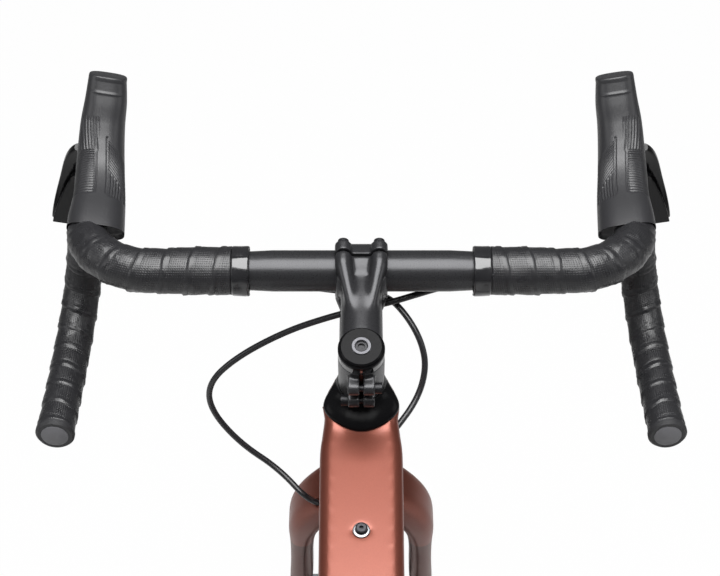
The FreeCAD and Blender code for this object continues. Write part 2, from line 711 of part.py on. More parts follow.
def front_triangle():
    waist = S.head_waist_width / 2
    head = loft([round_section(HEAD_FOOT, S.head_foot_width / 2), round_section(HEAD_FOOT + S.head_tube_length * 0.3, waist + 1),
                 head_section(HEAD_FOOT + S.head_tube_length * 0.68, waist, waist, waist - 0.5, waist + 4),
                 head_section(HEAD_TOP, S.head_top_front, S.head_top_front, S.head_top_width / 2, S.head_top_back)])
    seat = rod(S.seat_tube_radius, BB, SEAT_TOP)
    half = S.bb_shell_width / 2
    shell = rod(S.bb_shell_radius, BB - ACROSS * half, BB + ACROSS * half)
    bosses = [rod(7, point - out * 9, point) for point, out in bottle_points()]
    whole = head.fuse([top_tube(), down_tube(), seat, shell] + bosses)
    whole = whole.cut(rod(S.steerer_foot_radius + 2, STEER * Vector(0, 0, -20),
                          STEER * Vector(0, 0, HEAD_FOOT + 40)))
    whole = whole.cut(rod(S.steerer_radius + 3.5, STEER * Vector(0, 0, 0), STEER * Vector(0, 0, HEAD_TOP + 60)))
    seats = ((S.lower_bearing_radius, -20, HEAD_FOOT + S.bearing_height + S.fit_gap),
             (S.upper_bearing_radius, HEAD_TOP - S.bearing_height - S.fit_gap, HEAD_TOP + 60))
    for radius, low, high in seats:
        bore = rod(radius + S.fit_gap, STEER * Vector(0, 0, low), STEER * Vector(0, 0, high))
        whole = whole.cut(bore)
    whole = whole.cut(rod(S.seatpost_radius + S.fit_gap, POST_FOOT - SEAT_UP * S.post_room,
                          SEAT_TOP + SEAT_UP * 40))
    whole = whole.cut(rod(S.bb_bore, BB - ACROSS * 60, BB + ACROSS * 60))
    for point, out in bottle_points():
        whole = whole.cut(rod(INSERT_RADIUS + S.fit_gap, point - out * (INSERT_LENGTH + 1), point + out * 5))
    for point in bag_points():
        whole = whole.cut(rod(S.bolt_radius + S.fit_gap, point - TOP_UP * 14, point + TOP_UP * 5))
    direction = (PORT - PORT_INSIDE).normalize()
    whole = whole.cut(rod(S.hose_radius + 0.4, PORT_INSIDE - direction * 2, PORT + direction * 20))
    whole = whole.cut(tube(REAR_HOSE, S.hose_radius + S.run_gap))
    return one_solid(whole, "front_triangle")


FRAME_SHAPE = front_triangle()
solid_node("front_triangle", FRAME_SHAPE)

DROPOUT_IN = S.rear_spacing / 2
DROPOUT_OUT = DROPOUT_IN + S.dropout_thickness


def stay(stations, corner):
    """A stay on the right side through (point, width, height) stations."""
    wires = []
    for i, (point, width, height) in enumerate(stations):
        before, after = stations[max(i - 1, 0)][0], stations[min(i + 1, len(stations) - 1)][0]
        forward = (after - before).normalize()
        up = forward.cross(ACROSS).normalize() * -1
        up = up if up.z > 0 else up * -1
        wires.append(section(rounded_rectangle(width, height, corner), point, forward, up))
    return loft(wires)


def chain_stays():
    run = BB.y - REAR.y
    out = DROPOUT_IN + S.dropout_thickness / 2
    right = stay([(BB + Vector(28, -8, 0), 22, 36), (BB + Vector(34, -60, 7), 16, 33),
                  (BB + Vector(37, -110, 16), 13, 29), (REAR + Vector(out - 9, run * 0.24, -14), 13, 24),
                  (REAR + Vector(out, 30, -4), S.dropout_thickness, 22), (REAR + Vector(out, 4, 0),
                  S.dropout_thickness, 20)], 5.5)
    plate = rod(S.dropout_radius, REAR + ACROSS * DROPOUT_IN, REAR + ACROSS * DROPOUT_OUT)
    right = right.fuse(plate)
    right = right.cut(rod(S.axle_radius + S.fit_gap, REAR, REAR + ACROSS * 120))
    hub_room = rod(S.dropout_radius + 2, REAR + ACROSS * (DROPOUT_IN - 30), REAR + ACROSS * DROPOUT_IN)
    right = right.cut(hub_room)
    shell = rod(S.bb_shell_radius, BB - ACROSS * 50, BB + ACROSS * 50)
    right = right.cut(shell).cut(FRAME_SHAPE)
    biggest = max(right.Solids, key=lambda solid: solid.Volume)
    return both_sides(biggest)


CHAIN_STAYS = chain_stays()
solid_node("chain_stays", CHAIN_STAYS)


def seat_stays():
    top = SEAT_TOP - SEAT_UP * 62
    out = DROPOUT_IN + S.dropout_thickness / 2
    span = REAR - top
    right = stay([(top + Vector(5, 3, 2), 15, 20), (top + Vector(20, 0, 0) + Vector(0, span.y, span.z) * 0.12, 13, 19),
                  (top + Vector(45, 0, 0) + Vector(0, span.y, span.z) * 0.45, 11, 16),
                  (top + Vector(out - 2, 0, 0) + Vector(0, span.y, span.z) * 0.86, 10, 14),
                  (REAR + Vector(out, 2, 6), S.dropout_thickness, 14)], 4.5)
    disc = rod(S.dropout_radius, REAR + ACROSS * (DROPOUT_IN - 30), REAR + ACROSS * (DROPOUT_OUT + 30))
    right = right.cut(FRAME_SHAPE).cut(disc).cut(CHAIN_STAYS)
    return both_sides(max(right.Solids, key=lambda solid: solid.Volume))


SEAT_STAYS = seat_stays()
solid_node("seat_stays", SEAT_STAYS)


def headset_cover():
    """A smooth cone from the head tube rim up to the foot of the stem."""
    low, high = HEAD_TOP + S.fit_gap, STEM_FOOT - S.run_gap
    rim = [S.head_top_front, S.head_top_front, S.head_top_width / 2, S.head_top_back]
    foot = [side - S.cover_rim for side in rim]
    top = [S.stem_barrel_radius + 0.8] * 4
    top[2] *= 0.893
    shape = loft([head_section(low, *foot), head_section(low + 3, *[side - 0.6 for side in foot]),
                  head_section(low + (high - low) * 0.6, *[a * 0.45 + b * 0.55 for a, b in zip(foot, top)]),
                  head_section(high, *top)])
    shape = shape.cut(rod(S.steerer_radius + S.run_gap, STEER * Vector(0, 0, 0), STEER * Vector(0, 0, 400)))
    return one_solid(shape, "headset_cover")


solid_node("headset_cover", headset_cover())


def bearing(name, outer, inner, height, foot):
    body = new_body(name)
    padded(body, "XY_Plane", height, circles=[(0, 0, outer), (0, 0, inner)])
    body.Placement = STEER * Placement(Vector(0, 0, foot), Rotation())
    return body


compound_node("headset_bearings", [
    bearing("lower_bearing", S.lower_bearing_radius, S.steerer_foot_radius + S.fit_gap, S.bearing_height,
            HEAD_FOOT + S.fit_gap),
    bearing("upper_bearing", S.upper_bearing_radius, S.steerer_radius + S.fit_gap, S.bearing_height,
            HEAD_TOP - S.bearing_height)])


def insert(name, point, out):
    """A threaded insert with its collar on the frame's boss."""
    body = new_body(name)
    turned(body, [(-INSERT_LENGTH, S.boss_bore), (0.8, S.boss_bore), (0.8, 5.5), (S.fit_gap, 5.5),
                  (S.fit_gap, INSERT_RADIUS), (-INSERT_LENGTH, INSERT_RADIUS)])
    body.Placement = Placement(point, Rotation(ACROSS, out))
    return body


compound_node("bottle_inserts", [insert(f"insert_{i}", *place) for i, place in enumerate(bottle_points())])


def bag_bolt(name, point):
    """A button bolt on its washer, flush on the top tube."""
    washer = new_body(f"{name}_washer")
    turned(washer, [(S.fit_gap, S.bolt_radius + S.fit_gap), (1.1, S.bolt_radius + S.fit_gap), (1.1, 5.7),
                    (S.fit_gap, 5.9)])
    bolt = new_body(f"{name}_bolt")
    turned(bolt, [(-12, 0), (1.2, 0), (1.2, 1.6), (3.3, 1.6), (3.3, 3.4), (2.6, 4.3), (1.2, 4.6),
                  (1.2, S.bolt_radius), (-12, S.bolt_radius)])
    for body in (washer, bolt):
        body.Placement = Placement(point, Rotation(ACROSS, TOP_UP))
    return [washer, bolt]


compound_node("top_tube_bolts", sum((bag_bolt(f"bag_{i}", point) for i, point in enumerate(bag_points())), []))


def seat_clamp():
    """A split collar round the top of the seat tube, with its bolt behind."""
    body = new_body("seat_collar")
    outer, height = S.seat_tube_radius + 4, Size(14, "14")
    padded(body, "XY_Plane", height, circles=[(0, 0, outer)])
    padded(body, "XY_Plane", height, outlines=[[
        (-8, -outer - 6), (8, -outer - 6), (8, -outer + 5), (-8, -outer + 5)]])
    pocketed(body, "XY_Plane", circles=[(0, 0, S.seat_tube_radius + S.fit_gap)])
    pocketed(body, "XY_Plane", outlines=[[
        (-0.8, -outer - 8), (0.8, -outer - 8), (0.8, -outer + 7), (-0.8, -outer + 7)]])
    pocketed(body, "YZ_Plane", circles=[(-outer - 1, height / 2, S.bolt_radius + S.fit_gap)])
    frame = Placement(SEAT_TOP - SEAT_UP * 14, Rotation(ACROSS, Vector(0, SEAT_UP.z, -SEAT_UP.y), SEAT_UP, "ZYX"))
    body.Placement = frame
    bolt = new_body("seat_bolt")
    turned(bolt, [(-8, 0), (12, 0), (12, S.bolt_head_radius), (8 + S.fit_gap, S.bolt_head_radius),
                  (8 + S.fit_gap, S.bolt_radius), (-8, S.bolt_radius)])
    bolt.Placement = frame * Placement(Vector(0, -outer - 1, height / 2), Rotation())
    return [body, bolt]


compound_node("seat_clamp", seat_clamp())


def bottom_bracket_cup(side):
    body = new_body(f"cup_{side}")
    face = S.bb_shell_width / 2
    turned(body, [(face - 20, S.spindle_radius + S.fit_gap), (face + 2.4, S.spindle_radius + S.fit_gap),
                  (face + 2.4, 25), (face + S.fit_gap, 25), (face + S.fit_gap, S.bb_bore - S.fit_gap),
                  (face - 20, S.bb_bore - S.fit_gap)])
    body.Placement = Placement(BB, Rotation(ABOVE, 0 if side == "right" else 180))
    return body


compound_node("bottom_bracket", [bottom_bracket_cup("left"), bottom_bracket_cup("right")])

HANGER_AT = REAR + Vector(0, -8, -28)
HANGER_IN = DROPOUT_OUT + S.fit_gap
HANGER_OUT = HANGER_IN + 6


def hanger():
    body = new_body("derailleur_hanger")
    padded(body, "YZ_Plane", HANGER_OUT - HANGER_IN,
           outlines=[[(-13, 0, 13), (-19, -30), (-8, -39, 12), (3, -30, 12), (13, 0), (0, 13, 13)]])
    pocketed(body, "YZ_Plane", circles=[(0, 0, S.axle_radius + S.fit_gap)])
    pocketed(body, "YZ_Plane", circles=[(-8, -28, 5)])
    return node("derailleur_hanger", body, Placement(REAR + ACROSS * HANGER_IN, Rotation()))


hanger()


def thru_axle(label, centre, left, right):
    """An axle with its head on the left and a flush end on the right."""
    body = new_body(label)
    turned(body, [(-left - 5, 0), (right, 0), (right, S.axle_radius), (-left - S.fit_gap, S.axle_radius),
                  (-left - S.fit_gap, 9), (-left - 4, 9), (-left - 5, 8)])
    return node(label, body, Placement(centre, Rotation()))


thru_axle("rear_axle", REAR, DROPOUT_OUT, HANGER_OUT)


# Fork

STEERER_TOP = SPACER_TOP - 3


def fork_shape():
    """Steerer, crown and legs in the steering frame: y forwards of the axis, z along it."""
    foot = S.steerer_foot_radius
    steerer = Part.makeCylinder(foot, HEAD_FOOT + 32, Vector(0, 0, -20))
    steerer = steerer.fuse(Part.makeCone(foot, S.steerer_radius, 40, Vector(0, 0, HEAD_FOOT + 12)))
    steerer = steerer.fuse(Part.makeCylinder(S.steerer_radius, STEERER_TOP, Vector(0, 0, 0)))
    upper = Part.makeCylinder(foot + 5, 60, Vector(0, 0, HEAD_FOOT + 12)).cut(
        Part.makeCone(foot, S.steerer_radius, 40, Vector(0, 0, HEAD_FOOT + 12))).cut(
        Part.makeCylinder(S.steerer_radius, 80, Vector(0, 0, HEAD_FOOT)))
    steerer = steerer.cut(upper)
    race = Part.makeCylinder(S.lower_bearing_radius - 0.8, S.race_height + 5.7, Vector(0, 0, -6))
    down, out = -AXLE_BELOW, S.front_spacing / 2
    stations = [(14, -1, -19, 37, 40), (33, -3, -42, 33, 38), (47, -1, -80, 28, 36), (51.5, 5, -125, 22, 34),
                (55, 17, down * 0.62, 21, 30), (58, 36, down * 0.86, 17, 25),
                (out + 6.5, S.fork_rake - 4, down + 16, 13, 22), (out + 6, S.fork_rake, down - 2, 12, 20)]
    wires = []
    for i, (x, y, z, width, depth) in enumerate(stations):
        before, after = stations[max(i - 1, 0)], stations[min(i + 1, len(stations) - 1)]
        forward = Vector(*[b - a for a, b in zip(before[:3], after[:3])]).normalize()
        if i == 0:
            forward = Vector(0.95, 0, -0.3).normalize()
        corner = 10 if width > 20 else 6
        wires.append(section(rounded_rectangle(width, depth, corner), Vector(x, y, z), forward, ALONG))
    leg = loft(wires)
    axle = Vector(0, S.fork_rake, down)
    leg = leg.fuse(rod(13, axle + ACROSS * out, axle + ACROSS * (out + 12)))
    leg = leg.cut(Part.makeBox(out + 10, 60, 44, Vector(-10, S.fork_rake - 30, down - 26)))
    crown = loft([section(rounded_rectangle(45, 32, 12), Vector(x, 0, -15), ACROSS, ABOVE) for x in (-26, 26)])
    whole = steerer.fuse([race, crown, leg, mirrored(leg)])
    whole = whole.cut(rod(S.axle_radius + S.fit_gap, axle - ACROSS * 120, axle + ACROSS * 120))
    return whole.cut(rod(S.steerer_bore, Vector(0, 0, 60), Vector(0, 0, STEERER_TOP + 10)))


def make_fork():
    shape = fork_shape()
    shape.Placement = STEER
    shape = shape.cut(tube(FRONT_HOSE, S.hose_radius + 0.3))
    solid = max(shape.Solids, key=lambda part: part.Volume)
    solid_node("fork", solid)
    return solid


FORK = make_fork()
solid_node("front_brake_hose", tube(FRONT_HOSE, S.hose_radius))
solid_node("rear_brake_hose", tube(REAR_HOSE, S.hose_radius))
thru_axle("front_axle", FRONT, S.front_spacing / 2 + 12, S.front_spacing / 2 + 12)


# Stem and its bolts

TO_FRONT = Rotation(ABOVE, ALONG)
TO_RIGHT = Rotation(ABOVE, ACROSS)
CLAMP_RADIUS = S.bar_radius + 4.8
EAR_RADIUS = 6.4
EAR_BACK, EAR_FRONT, CLAMP_GAP, HEAD_RECESS = 10.0, 9.0, 0.8, 1.5
PINCH_AT = [(-22.0, 9.5), (-22.0, -9.5)]
PINCH_HALF = 10.0


def stem_places():
    """The four bar clamp bolts, in the stem's frame."""
    return [Vector(side * S.stem_bolt_spacing / 2, S.stem_length, up * S.stem_bolt_height)
            for side in (-1, 1) for up in (-1, 1)]


def in_stem(place, rotation=Rotation()):
    return STEM * Placement(place, rotation)


def half_box(name, front):
    """The room on one side of the bar clamp's gap."""
    box = doc.addObject("Part::Box", name)
    bind(box, Length=S.stem_clamp_width + 40)
    box.Width, box.Height = 60, 120
    start = CLAMP_GAP - 60 if front else -CLAMP_GAP
    box.Placement = in_stem(Vector(-S.stem_clamp_width / 2 - 20, S.stem_length + start, -60))
    return box


def clamp_half(name, front):
    """The bar clamp and its bolt ears on one side of the gap."""
    across = S.stem_clamp_width
    parts = [cylinder(f"{name}_ring", CLAMP_RADIUS, across,
                      in_stem(Vector(-across / 2, S.stem_length, 0), TO_RIGHT))]
    depth = EAR_FRONT if front else EAR_BACK
    for i, place in enumerate(stem_places()):
        start = place if front else place - ALONG * EAR_BACK
        parts.append(cylinder(f"{name}_ear_{i}", Size(EAR_RADIUS, str(EAR_RADIUS)), Size(depth, str(depth)),
                              in_stem(start, TO_FRONT)))
    return parts


def stem_rib(name, place):
    """A tapering rib that runs from a bolt ear back into the stem's tube."""
    end = place - ALONG * EAR_BACK
    run = Vector(place.x * 0.4, S.stem_length - 50, place.z * 0.42) - end
    cone = doc.addObject("Part::Cone", f"{name}_cone")
    cone.Radius1, cone.Radius2, cone.Height = EAR_RADIUS, 4, run.Length
    cone.Placement = in_stem(end, Rotation(ABOVE, run))
    ball = doc.addObject("Part::Sphere", f"{name}_ball")
    ball.Radius = EAR_RADIUS
    ball.Placement = in_stem(end)
    return [cone, ball]


def clamp_tools(name):
    """The bar's bore and the four bolt holes."""
    tools = [cylinder(f"{name}_bar", S.bar_radius + S.fit_gap / 2, Size(120, "120"),
                      in_stem(Vector(-60, S.stem_length, 0), TO_RIGHT))]
    for i, place in enumerate(stem_places()):
        tools.append(cylinder(f"{name}_hole_{i}", S.bolt_radius + S.fit_gap, Size(60, "60"),
                              in_stem(place - ALONG * (EAR_BACK + 2), TO_FRONT)))
    return tools


def make_stem():
    parts = clamp_half("stem", False)
    parts.append(cylinder("stem_barrel", S.stem_barrel_radius, S.stem_stack,
                          STEER * Placement(Vector(0, 0, STEM_FOOT), Rotation())))
    parts.append(cylinder("stem_tube", S.stem_tube_radius, S.stem_length, in_stem(Vector(0, 0, 0), TO_FRONT)))
    for i, place in enumerate(stem_places()):
        parts += stem_rib(f"stem_rib_{i}", place)
    middle = STEM_FOOT + S.stem_stack / 2
    tools = clamp_tools("stem") + [half_box("stem_front", False)]
    for i, (back, up) in enumerate(PINCH_AT):
        place = STEER * Placement(Vector(-PINCH_HALF, back, middle + up), TO_RIGHT)
        parts.append(cylinder(f"pinch_boss_{i}", Size(5.4, "5.4"), Size(2 * PINCH_HALF, str(2 * PINCH_HALF)),
                              place))
        place = STEER * Placement(Vector(-40, back, middle + up), TO_RIGHT)
        tools.append(cylinder(f"pinch_hole_{i}", S.bolt_radius + S.fit_gap, Size(80, "80"), place))
        web = doc.addObject("Part::Box", f"pinch_web_{i}")
        web.Length, web.Width, web.Height = 2 * PINCH_HALF, 14, 10.8
        web.Placement = STEER * Placement(Vector(-PINCH_HALF, back, middle + up - 5.4), Rotation())
        parts.append(web)
    tools.append(cylinder("stem_bore", S.steerer_radius + S.fit_gap / 2, Size(120, "120"),
                          STEER * Placement(Vector(0, 0, STEM_FOOT - 40), Rotation())))
    slot = doc.addObject("Part::Box", "stem_slot")
    slot.Length, slot.Width, slot.Height = 3, 30, 80
    slot.Placement = STEER * Placement(Vector(-1.5, -42, middle - 40), Rotation())
    tools.append(slot)
    return node("stem", cut_from("stem", fused("stem_solid", parts), fused("stem_tools", tools)))


def make_faceplate():
    parts = clamp_half("plate", True)
    tools = clamp_tools("plate") + [half_box("plate_back", True)]
    for i, place in enumerate(stem_places()):
        tools.append(cylinder(f"plate_seat_{i}", S.bolt_head_radius + 2 * S.fit_gap, Size(20, "20"),
                              in_stem(place + ALONG * (EAR_FRONT - HEAD_RECESS), TO_FRONT)))
    window = doc.addObject("Part::Box", "plate_window")
    window.Length, window.Width, window.Height = 15, 40, 22
    window.Placement = in_stem(Vector(-7.5, S.stem_length, -11))
    return node("stem_faceplate", cut_from("stem_faceplate", fused("plate_solid", parts),
                                           fused("plate_tools", tools + [window])))


def socket_bolt(name, radius, head, head_height, length, placement):
    """A socket bolt along local X: its shank runs back from the seat at 0, its head ahead of it."""
    body = new_body(name)
    turned(body, [(-length, 0), (head_height * 0.4, 0), (head_height * 0.4, head * 0.55), (head_height, head * 0.55),
                  (head_height, head), (0, head), (0, radius), (-length, radius)])
    body.Placement = placement
    return body


def make_cockpit_bolts():
    bolts = []
    for i, place in enumerate(stem_places()):
        seat = place + ALONG * (EAR_FRONT - HEAD_RECESS + S.fit_gap)
        bolts.append(socket_bolt(f"clamp_bolt_{i}", S.bolt_radius, S.bolt_head_radius, S.bolt_head_height, 18,
                                 in_stem(seat, Rotation(ACROSS, ALONG))))
    middle = STEM_FOOT + S.stem_stack / 2
    for i, (back, up) in enumerate(PINCH_AT):
        side = 1 if up > 0 else -1
        seat = STEER * Placement(Vector(side * (PINCH_HALF + S.fit_gap), back, middle + up),
                                 Rotation(ACROSS, ACROSS * side))
        bolts.append(socket_bolt(f"pinch_bolt_{i}", S.bolt_radius, S.bolt_head_radius, S.bolt_head_height, 20,
                                 seat))
    seat = STEER * Placement(Vector(0, 0, CAP_TOP - 3.4), Rotation(ACROSS, ABOVE))
    bolts.append(socket_bolt("cap_bolt", 2.9, 5.0, Size(2.6, "2.6"), 34, seat))
    return compound_node("cockpit_bolts", bolts)


def steerer_turned(label, outline):
    """A piece turned about the steering axis; its outline is (radius, height)."""
    body = new_body(label)
    turned(body, outline, axis="V_Axis")
    return node(label, body, STEER)


make_stem()
make_faceplate()
make_cockpit_bolts()
steerer_turned("stem_spacer", [
    (S.steerer_radius + S.fit_gap, STEM_TOP + S.fit_gap), (S.stem_barrel_radius, STEM_TOP + S.fit_gap),
    (S.stem_barrel_radius, SPACER_TOP), (S.steerer_radius + S.fit_gap, SPACER_TOP)])
steerer_turned("top_cap", [
    (3.1, SPACER_TOP + S.fit_gap), (S.stem_barrel_radius, SPACER_TOP + S.fit_gap),
    (S.stem_barrel_radius, SPACER_TOP + 2.4), (S.cap_radius, SPACER_TOP + 3.2), (S.cap_radius, CAP_TOP - 1.2),
    (S.cap_radius - 1.2, CAP_TOP - 0.2), (6.4, CAP_TOP), (6.4, CAP_TOP - 0.6), (5.2, CAP_TOP - 0.6),
    (5.2, CAP_TOP - 3.5), (3.1, CAP_TOP - 3.5)])
steerer_turned("steerer_plug", [
    (3, SPACER_TOP - 48), (S.steerer_bore - S.fit_gap, SPACER_TOP - 48), (S.steerer_bore - S.fit_gap, STEERER_TOP),
    (3, STEERER_TOP)])


# Handlebar, tape and levers

DROP_BEND = [(0, 0, 0), (178, 0, 0), (210, 24, 0), (219, 62, -6), (223, 84, -34), (229, 82, -78), (236, 52, -112),
             (239, 8, -121), (241.5, -50, -124)]
BAR_PATH = rounded_path([bar_relative(*point) for point in DROP_BEND])
BAR_END = path_length(BAR_PATH)
BAND_START = S.lever_clamp_at - S.lever_clamp_width / 2
BAND_END = S.lever_clamp_at + S.lever_clamp_width / 2


def bar_half(extra):
    """The right half of the handlebar, grown by extra."""
    thick, thin = S.bar_radius + extra, S.drop_radius + extra
    middle = Part.makeCylinder(thick, S.bar_clamp_half, BAR, ACROSS)
    taper = Part.makeCone(thick, thin, S.bar_taper_end - S.bar_clamp_half, BAR + ACROSS * S.bar_clamp_half, ACROSS)
    return middle.fuse([taper, tube(path_between(BAR_PATH, S.bar_taper_end, BAR_END), thin)])


def bar_radius_at(distance):
    share = (distance - S.bar_clamp_half) / (S.bar_taper_end - S.bar_clamp_half)
    return S.bar_radius + (S.drop_radius - S.bar_radius) * min(max(share, 0.0), 1.0)


def tape_radius_at(distance):
    """Outside of the tape; on the tops the hose under it makes it fuller."""
    fuller = 2.9 * min(max((distance - 60) / 70, 0.0), 1.0) if distance < S.lever_clamp_at else 0.2
    if 150 < distance < S.lever_clamp_at:
        fuller = 2.9 - 1.6 * (distance - 150) / (S.lever_clamp_at - 150)
    return bar_radius_at(distance) + S.tape_thickness + fuller


def ring_loft(stations):
    """A round solid through (distance along the bar, radius) stations."""
    wires, up = [], ABOVE
    for distance, radius in stations:
        point, forward = path_point(BAR_PATH, distance)
        up = (up - forward * up.dot(forward)).normalize()
        wires.append(section(Part.Wire(Part.Circle(Vector(), ABOVE, radius).toShape()), point, forward, up))
    return loft(wires, ruled=True)


def tape_solid(begin, finish, extra=0.0):
    """Turns of tape, each stepped down to the next."""
    turns = max(int(round((finish - begin) / S.tape_pitch)), 2)
    pitch = (finish - begin) / turns
    stations = []
    for i in range(turns):
        low = begin + i * pitch
        stations.append((low, tape_radius_at(low) + extra))
        stations.append((low + pitch - 0.7, tape_radius_at(low + pitch) - S.tape_step + extra))
    stations.append((finish, tape_radius_at(finish) + extra))
    return ring_loft(stations)


TAPE_START = S.tape_start + S.finish_width
TAPE_RUNS = ((TAPE_START + S.fit_gap, BAND_START - S.run_gap), (BAND_END + S.run_gap, BAR_END))
GROWN_BAR = bar_half(S.fit_gap)
HALF_BAR = bar_half(0.0)
END_POINT, END_AHEAD = path_point(BAR_PATH, BAR_END)
PLUG_BORE = 9.9


def make_handlebar():
    half = HALF_BAR.cut(rod(PLUG_BORE, END_POINT - END_AHEAD * 26, END_POINT + END_AHEAD * 5))
    return solid_node("handlebar", one_solid(half.fuse(mirrored(half)), "handlebar"))


def make_tape():
    turns = [one_solid(tape_solid(*run).cut(GROWN_BAR), "bar_tape") for run in TAPE_RUNS]
    solid_node("bar_tape", Part.Compound(turns + [mirrored(turn) for turn in turns]))
    band = Part.makeCylinder(tape_radius_at(TAPE_START) + 0.2, S.finish_width, BAR + ACROSS * S.tape_start, ACROSS)
    solid_node("finishing_tape", both_sides(band.cut(GROWN_BAR)))
    ahead, radius = END_AHEAD, tape_radius_at(BAR_END) + 0.6
    face = END_POINT + ahead * S.fit_gap
    plug = rod(radius, face, face + ahead * 2.5)
    plug = plug.fuse(Part.makeCone(radius, radius - 1.8, 2, face + ahead * 2.5, ahead))
    plug = plug.fuse(rod(PLUG_BORE - S.fit_gap, face - ahead * 22, face))
    solid_node("bar_end_plugs", both_sides(plug))


make_handlebar()
make_tape()

CLAMP_POINT = path_point(BAR_PATH, S.lever_clamp_at)[0]
LEVER = Placement(CLAMP_POINT, Rotation(ALONG, -S.flare))
# Stations of the hood and of the body inside it: ahead, up, tilt, sideways, width, height.
HOOD = [(0, 1, 36, -7, 46, 46), (12, 3, 24, -6.5, 45, 43), (34, 6, 12, -6, 42, 41), (58, 12, 20, -3.7, 40, 43),
        (78, 24, 40, -1.5, 38, 46), (91, 41, 56, 0, 36, 41), (99, 57, 62, 0, 34, 34), (107, 72, 64, 1, 31, 27),
        (109.4, 77, 64, 1, 24, 20)]
CORE = [(12, 3, 24, -6.5, 34, 33), (34, 6, 12, -6, 33, 33), (58, 12, 20, -3.7, 31, 35), (78, 24, 40, -1.5, 30, 37),
        (90, 39, 56, 0, 28, 31), (96, 51, 61, 0, 25, 24)]
PIVOT = Vector(0, 86, -9)
PIVOT_PIN = 2.0
BARREL = 6.0
LUG_IN, LUG_OUT = BARREL + 0.4, BARREL + 4.0
# Stations of the lever blade and of the paddle behind it: ahead, up, sideways, width, thickness.
BLADE = [(100.5, 5, 12.5, 17, 7), (103.5, -3, 14.5, 22, 8), (106, -14, 16.5, 24, 8), (107.5, -32, 19.5, 22, 7.5),
         (106.5, -50, 23, 19, 7), (103.5, -64, 25.5, 16, 6), (103.5, -74, 27.5, 12, 5)]
WING = [(98, -26, 17, 8, 2.4), (97, -40, 17, 18, 2.4), (95.5, -56, 19, 22, 2.4), (94, -72, 22, 20, 2.4)]
PADDLE_PIN = Vector(17, 95.5, -26)


def lever_loft(stations, grow=0.0, corner=0.36):
    wires = []
    for ahead, up, tilt, sideways, width, height in stations:
        turn = math.radians(tilt)
        wire = rounded_rectangle(width + 2 * grow, height + 2 * grow, corner * width)
        wires.append(section(wire, Vector(sideways, ahead, up), Vector(0, math.cos(turn), math.sin(turn)),
                             Vector(0, -math.sin(turn), math.cos(turn))))
    return loft(wires)


def lugs(grow=0.0):
    """The two ears of the bracket that hold the lever's pivot."""
    pair = []
    for side in (-1, 1):
        ends = sorted((side * (LUG_IN - grow), side * (LUG_OUT + grow)))
        pair.append(block(Vector(ends[0], 76 - grow, -16 - grow), Vector(ends[1], 96 + grow, 14)))
    return pair


def band(grow=0.0):
    return tube(path_between(BAR_PATH, BAND_START - grow, BAND_END + grow), S.drop_radius + 2.6 + grow)


def in_lever(shape):
    shape.Placement = LEVER * shape.Placement
    return shape


def make_brackets():
    pin = rod(PIVOT_PIN, PIVOT - ACROSS * LUG_OUT, PIVOT + ACROSS * LUG_OUT)
    core = in_lever(lever_loft(CORE).fuse(lugs() + [pin]))
    tape = [tape_solid(*run, extra=S.fit_gap) for run in TAPE_RUNS]
    whole = core.fuse(band()).cut([GROWN_BAR] + tape)
    return max(whole.Solids, key=lambda part: part.Volume), tape


def make_hoods(bracket, tape):
    outer = in_lever(lever_loft(HOOD))
    room = in_lever(lever_loft(CORE, S.fit_gap).fuse(lugs(S.fit_gap)))
    sweep = in_lever(rod(BARREL + 1.5, PIVOT - ACROSS * LUG_IN, PIVOT + ACROSS * LUG_IN))
    hood = outer.cut([room, band(S.fit_gap), GROWN_BAR, sweep] + tape)
    return max(hood.Solids, key=lambda part: part.Volume)


BRACKET, NEAR_TAPE = make_brackets()
HOOD_SHAPE = make_hoods(BRACKET, NEAR_TAPE)
solid_node("lever_brackets", both_sides(BRACKET))
solid_node("lever_hoods", both_sides(HOOD_SHAPE))


def plate_loft(stations, corner):
    """A curved plate that hangs down through its stations."""
    wires = []
    for i, (ahead, up, sideways, width, thick) in enumerate(stations):
        before, after = stations[max(i - 1, 0)], stations[min(i + 1, len(stations) - 1)]
        forward = Vector(0, after[0] - before[0], after[1] - before[1]).normalize()
        wire = rounded_rectangle(width, thick, corner)
        wires.append(section(wire, Vector(sideways, ahead, up), forward, forward.cross(ACROSS)))
    return loft(wires)


def brake_lever():
    """A blade that hangs outside the grip, the arm to its pivot barrel, and the paddle's pin behind it."""
    barrel = rod(BARREL, PIVOT - ACROSS * BARREL, PIVOT + ACROSS * BARREL)
    arm = loft([section(rounded_rectangle(width, height, 2), Vector(sideways, ahead, up), ALONG, ABOVE)
                for ahead, up, sideways, width, height in (
                    (86, -9, 0, 11.6, 10), (98.2, -10, 0, 11.6, 10), (105, -12, 13, 15, 13))], ruled=True)
    pin = rod(1.5, PADDLE_PIN, PADDLE_PIN + ALONG * 11)
    whole = plate_loft(BLADE, 2.4).fuse([barrel, arm, pin])
    return in_lever(hole_through(whole, PIVOT_PIN + 0.08, PIVOT - ACROSS * 30, PIVOT + ACROSS * 30))


def shift_paddle():
    """A thin wing behind the lever that swings inwards on its pin."""
    boss = rod(4, PADDLE_PIN + ALONG * 0.4, PADDLE_PIN + ALONG * 6.2)
    whole = boss.fuse(plate_loft(WING, 1))
    return in_lever(hole_through(whole, 1.56, PADDLE_PIN - ALONG * 5, PADDLE_PIN + ALONG * 12))


for side, turn in (("right", lambda shape: shape), ("left", mirrored)):
    solid_node(f"brake_lever_{side}", turn(one_solid(brake_lever(), "brake lever")))
    solid_node(f"shift_paddle_{side}", turn(one_solid(shift_paddle(), "shift paddle")))


# Seatpost and saddle

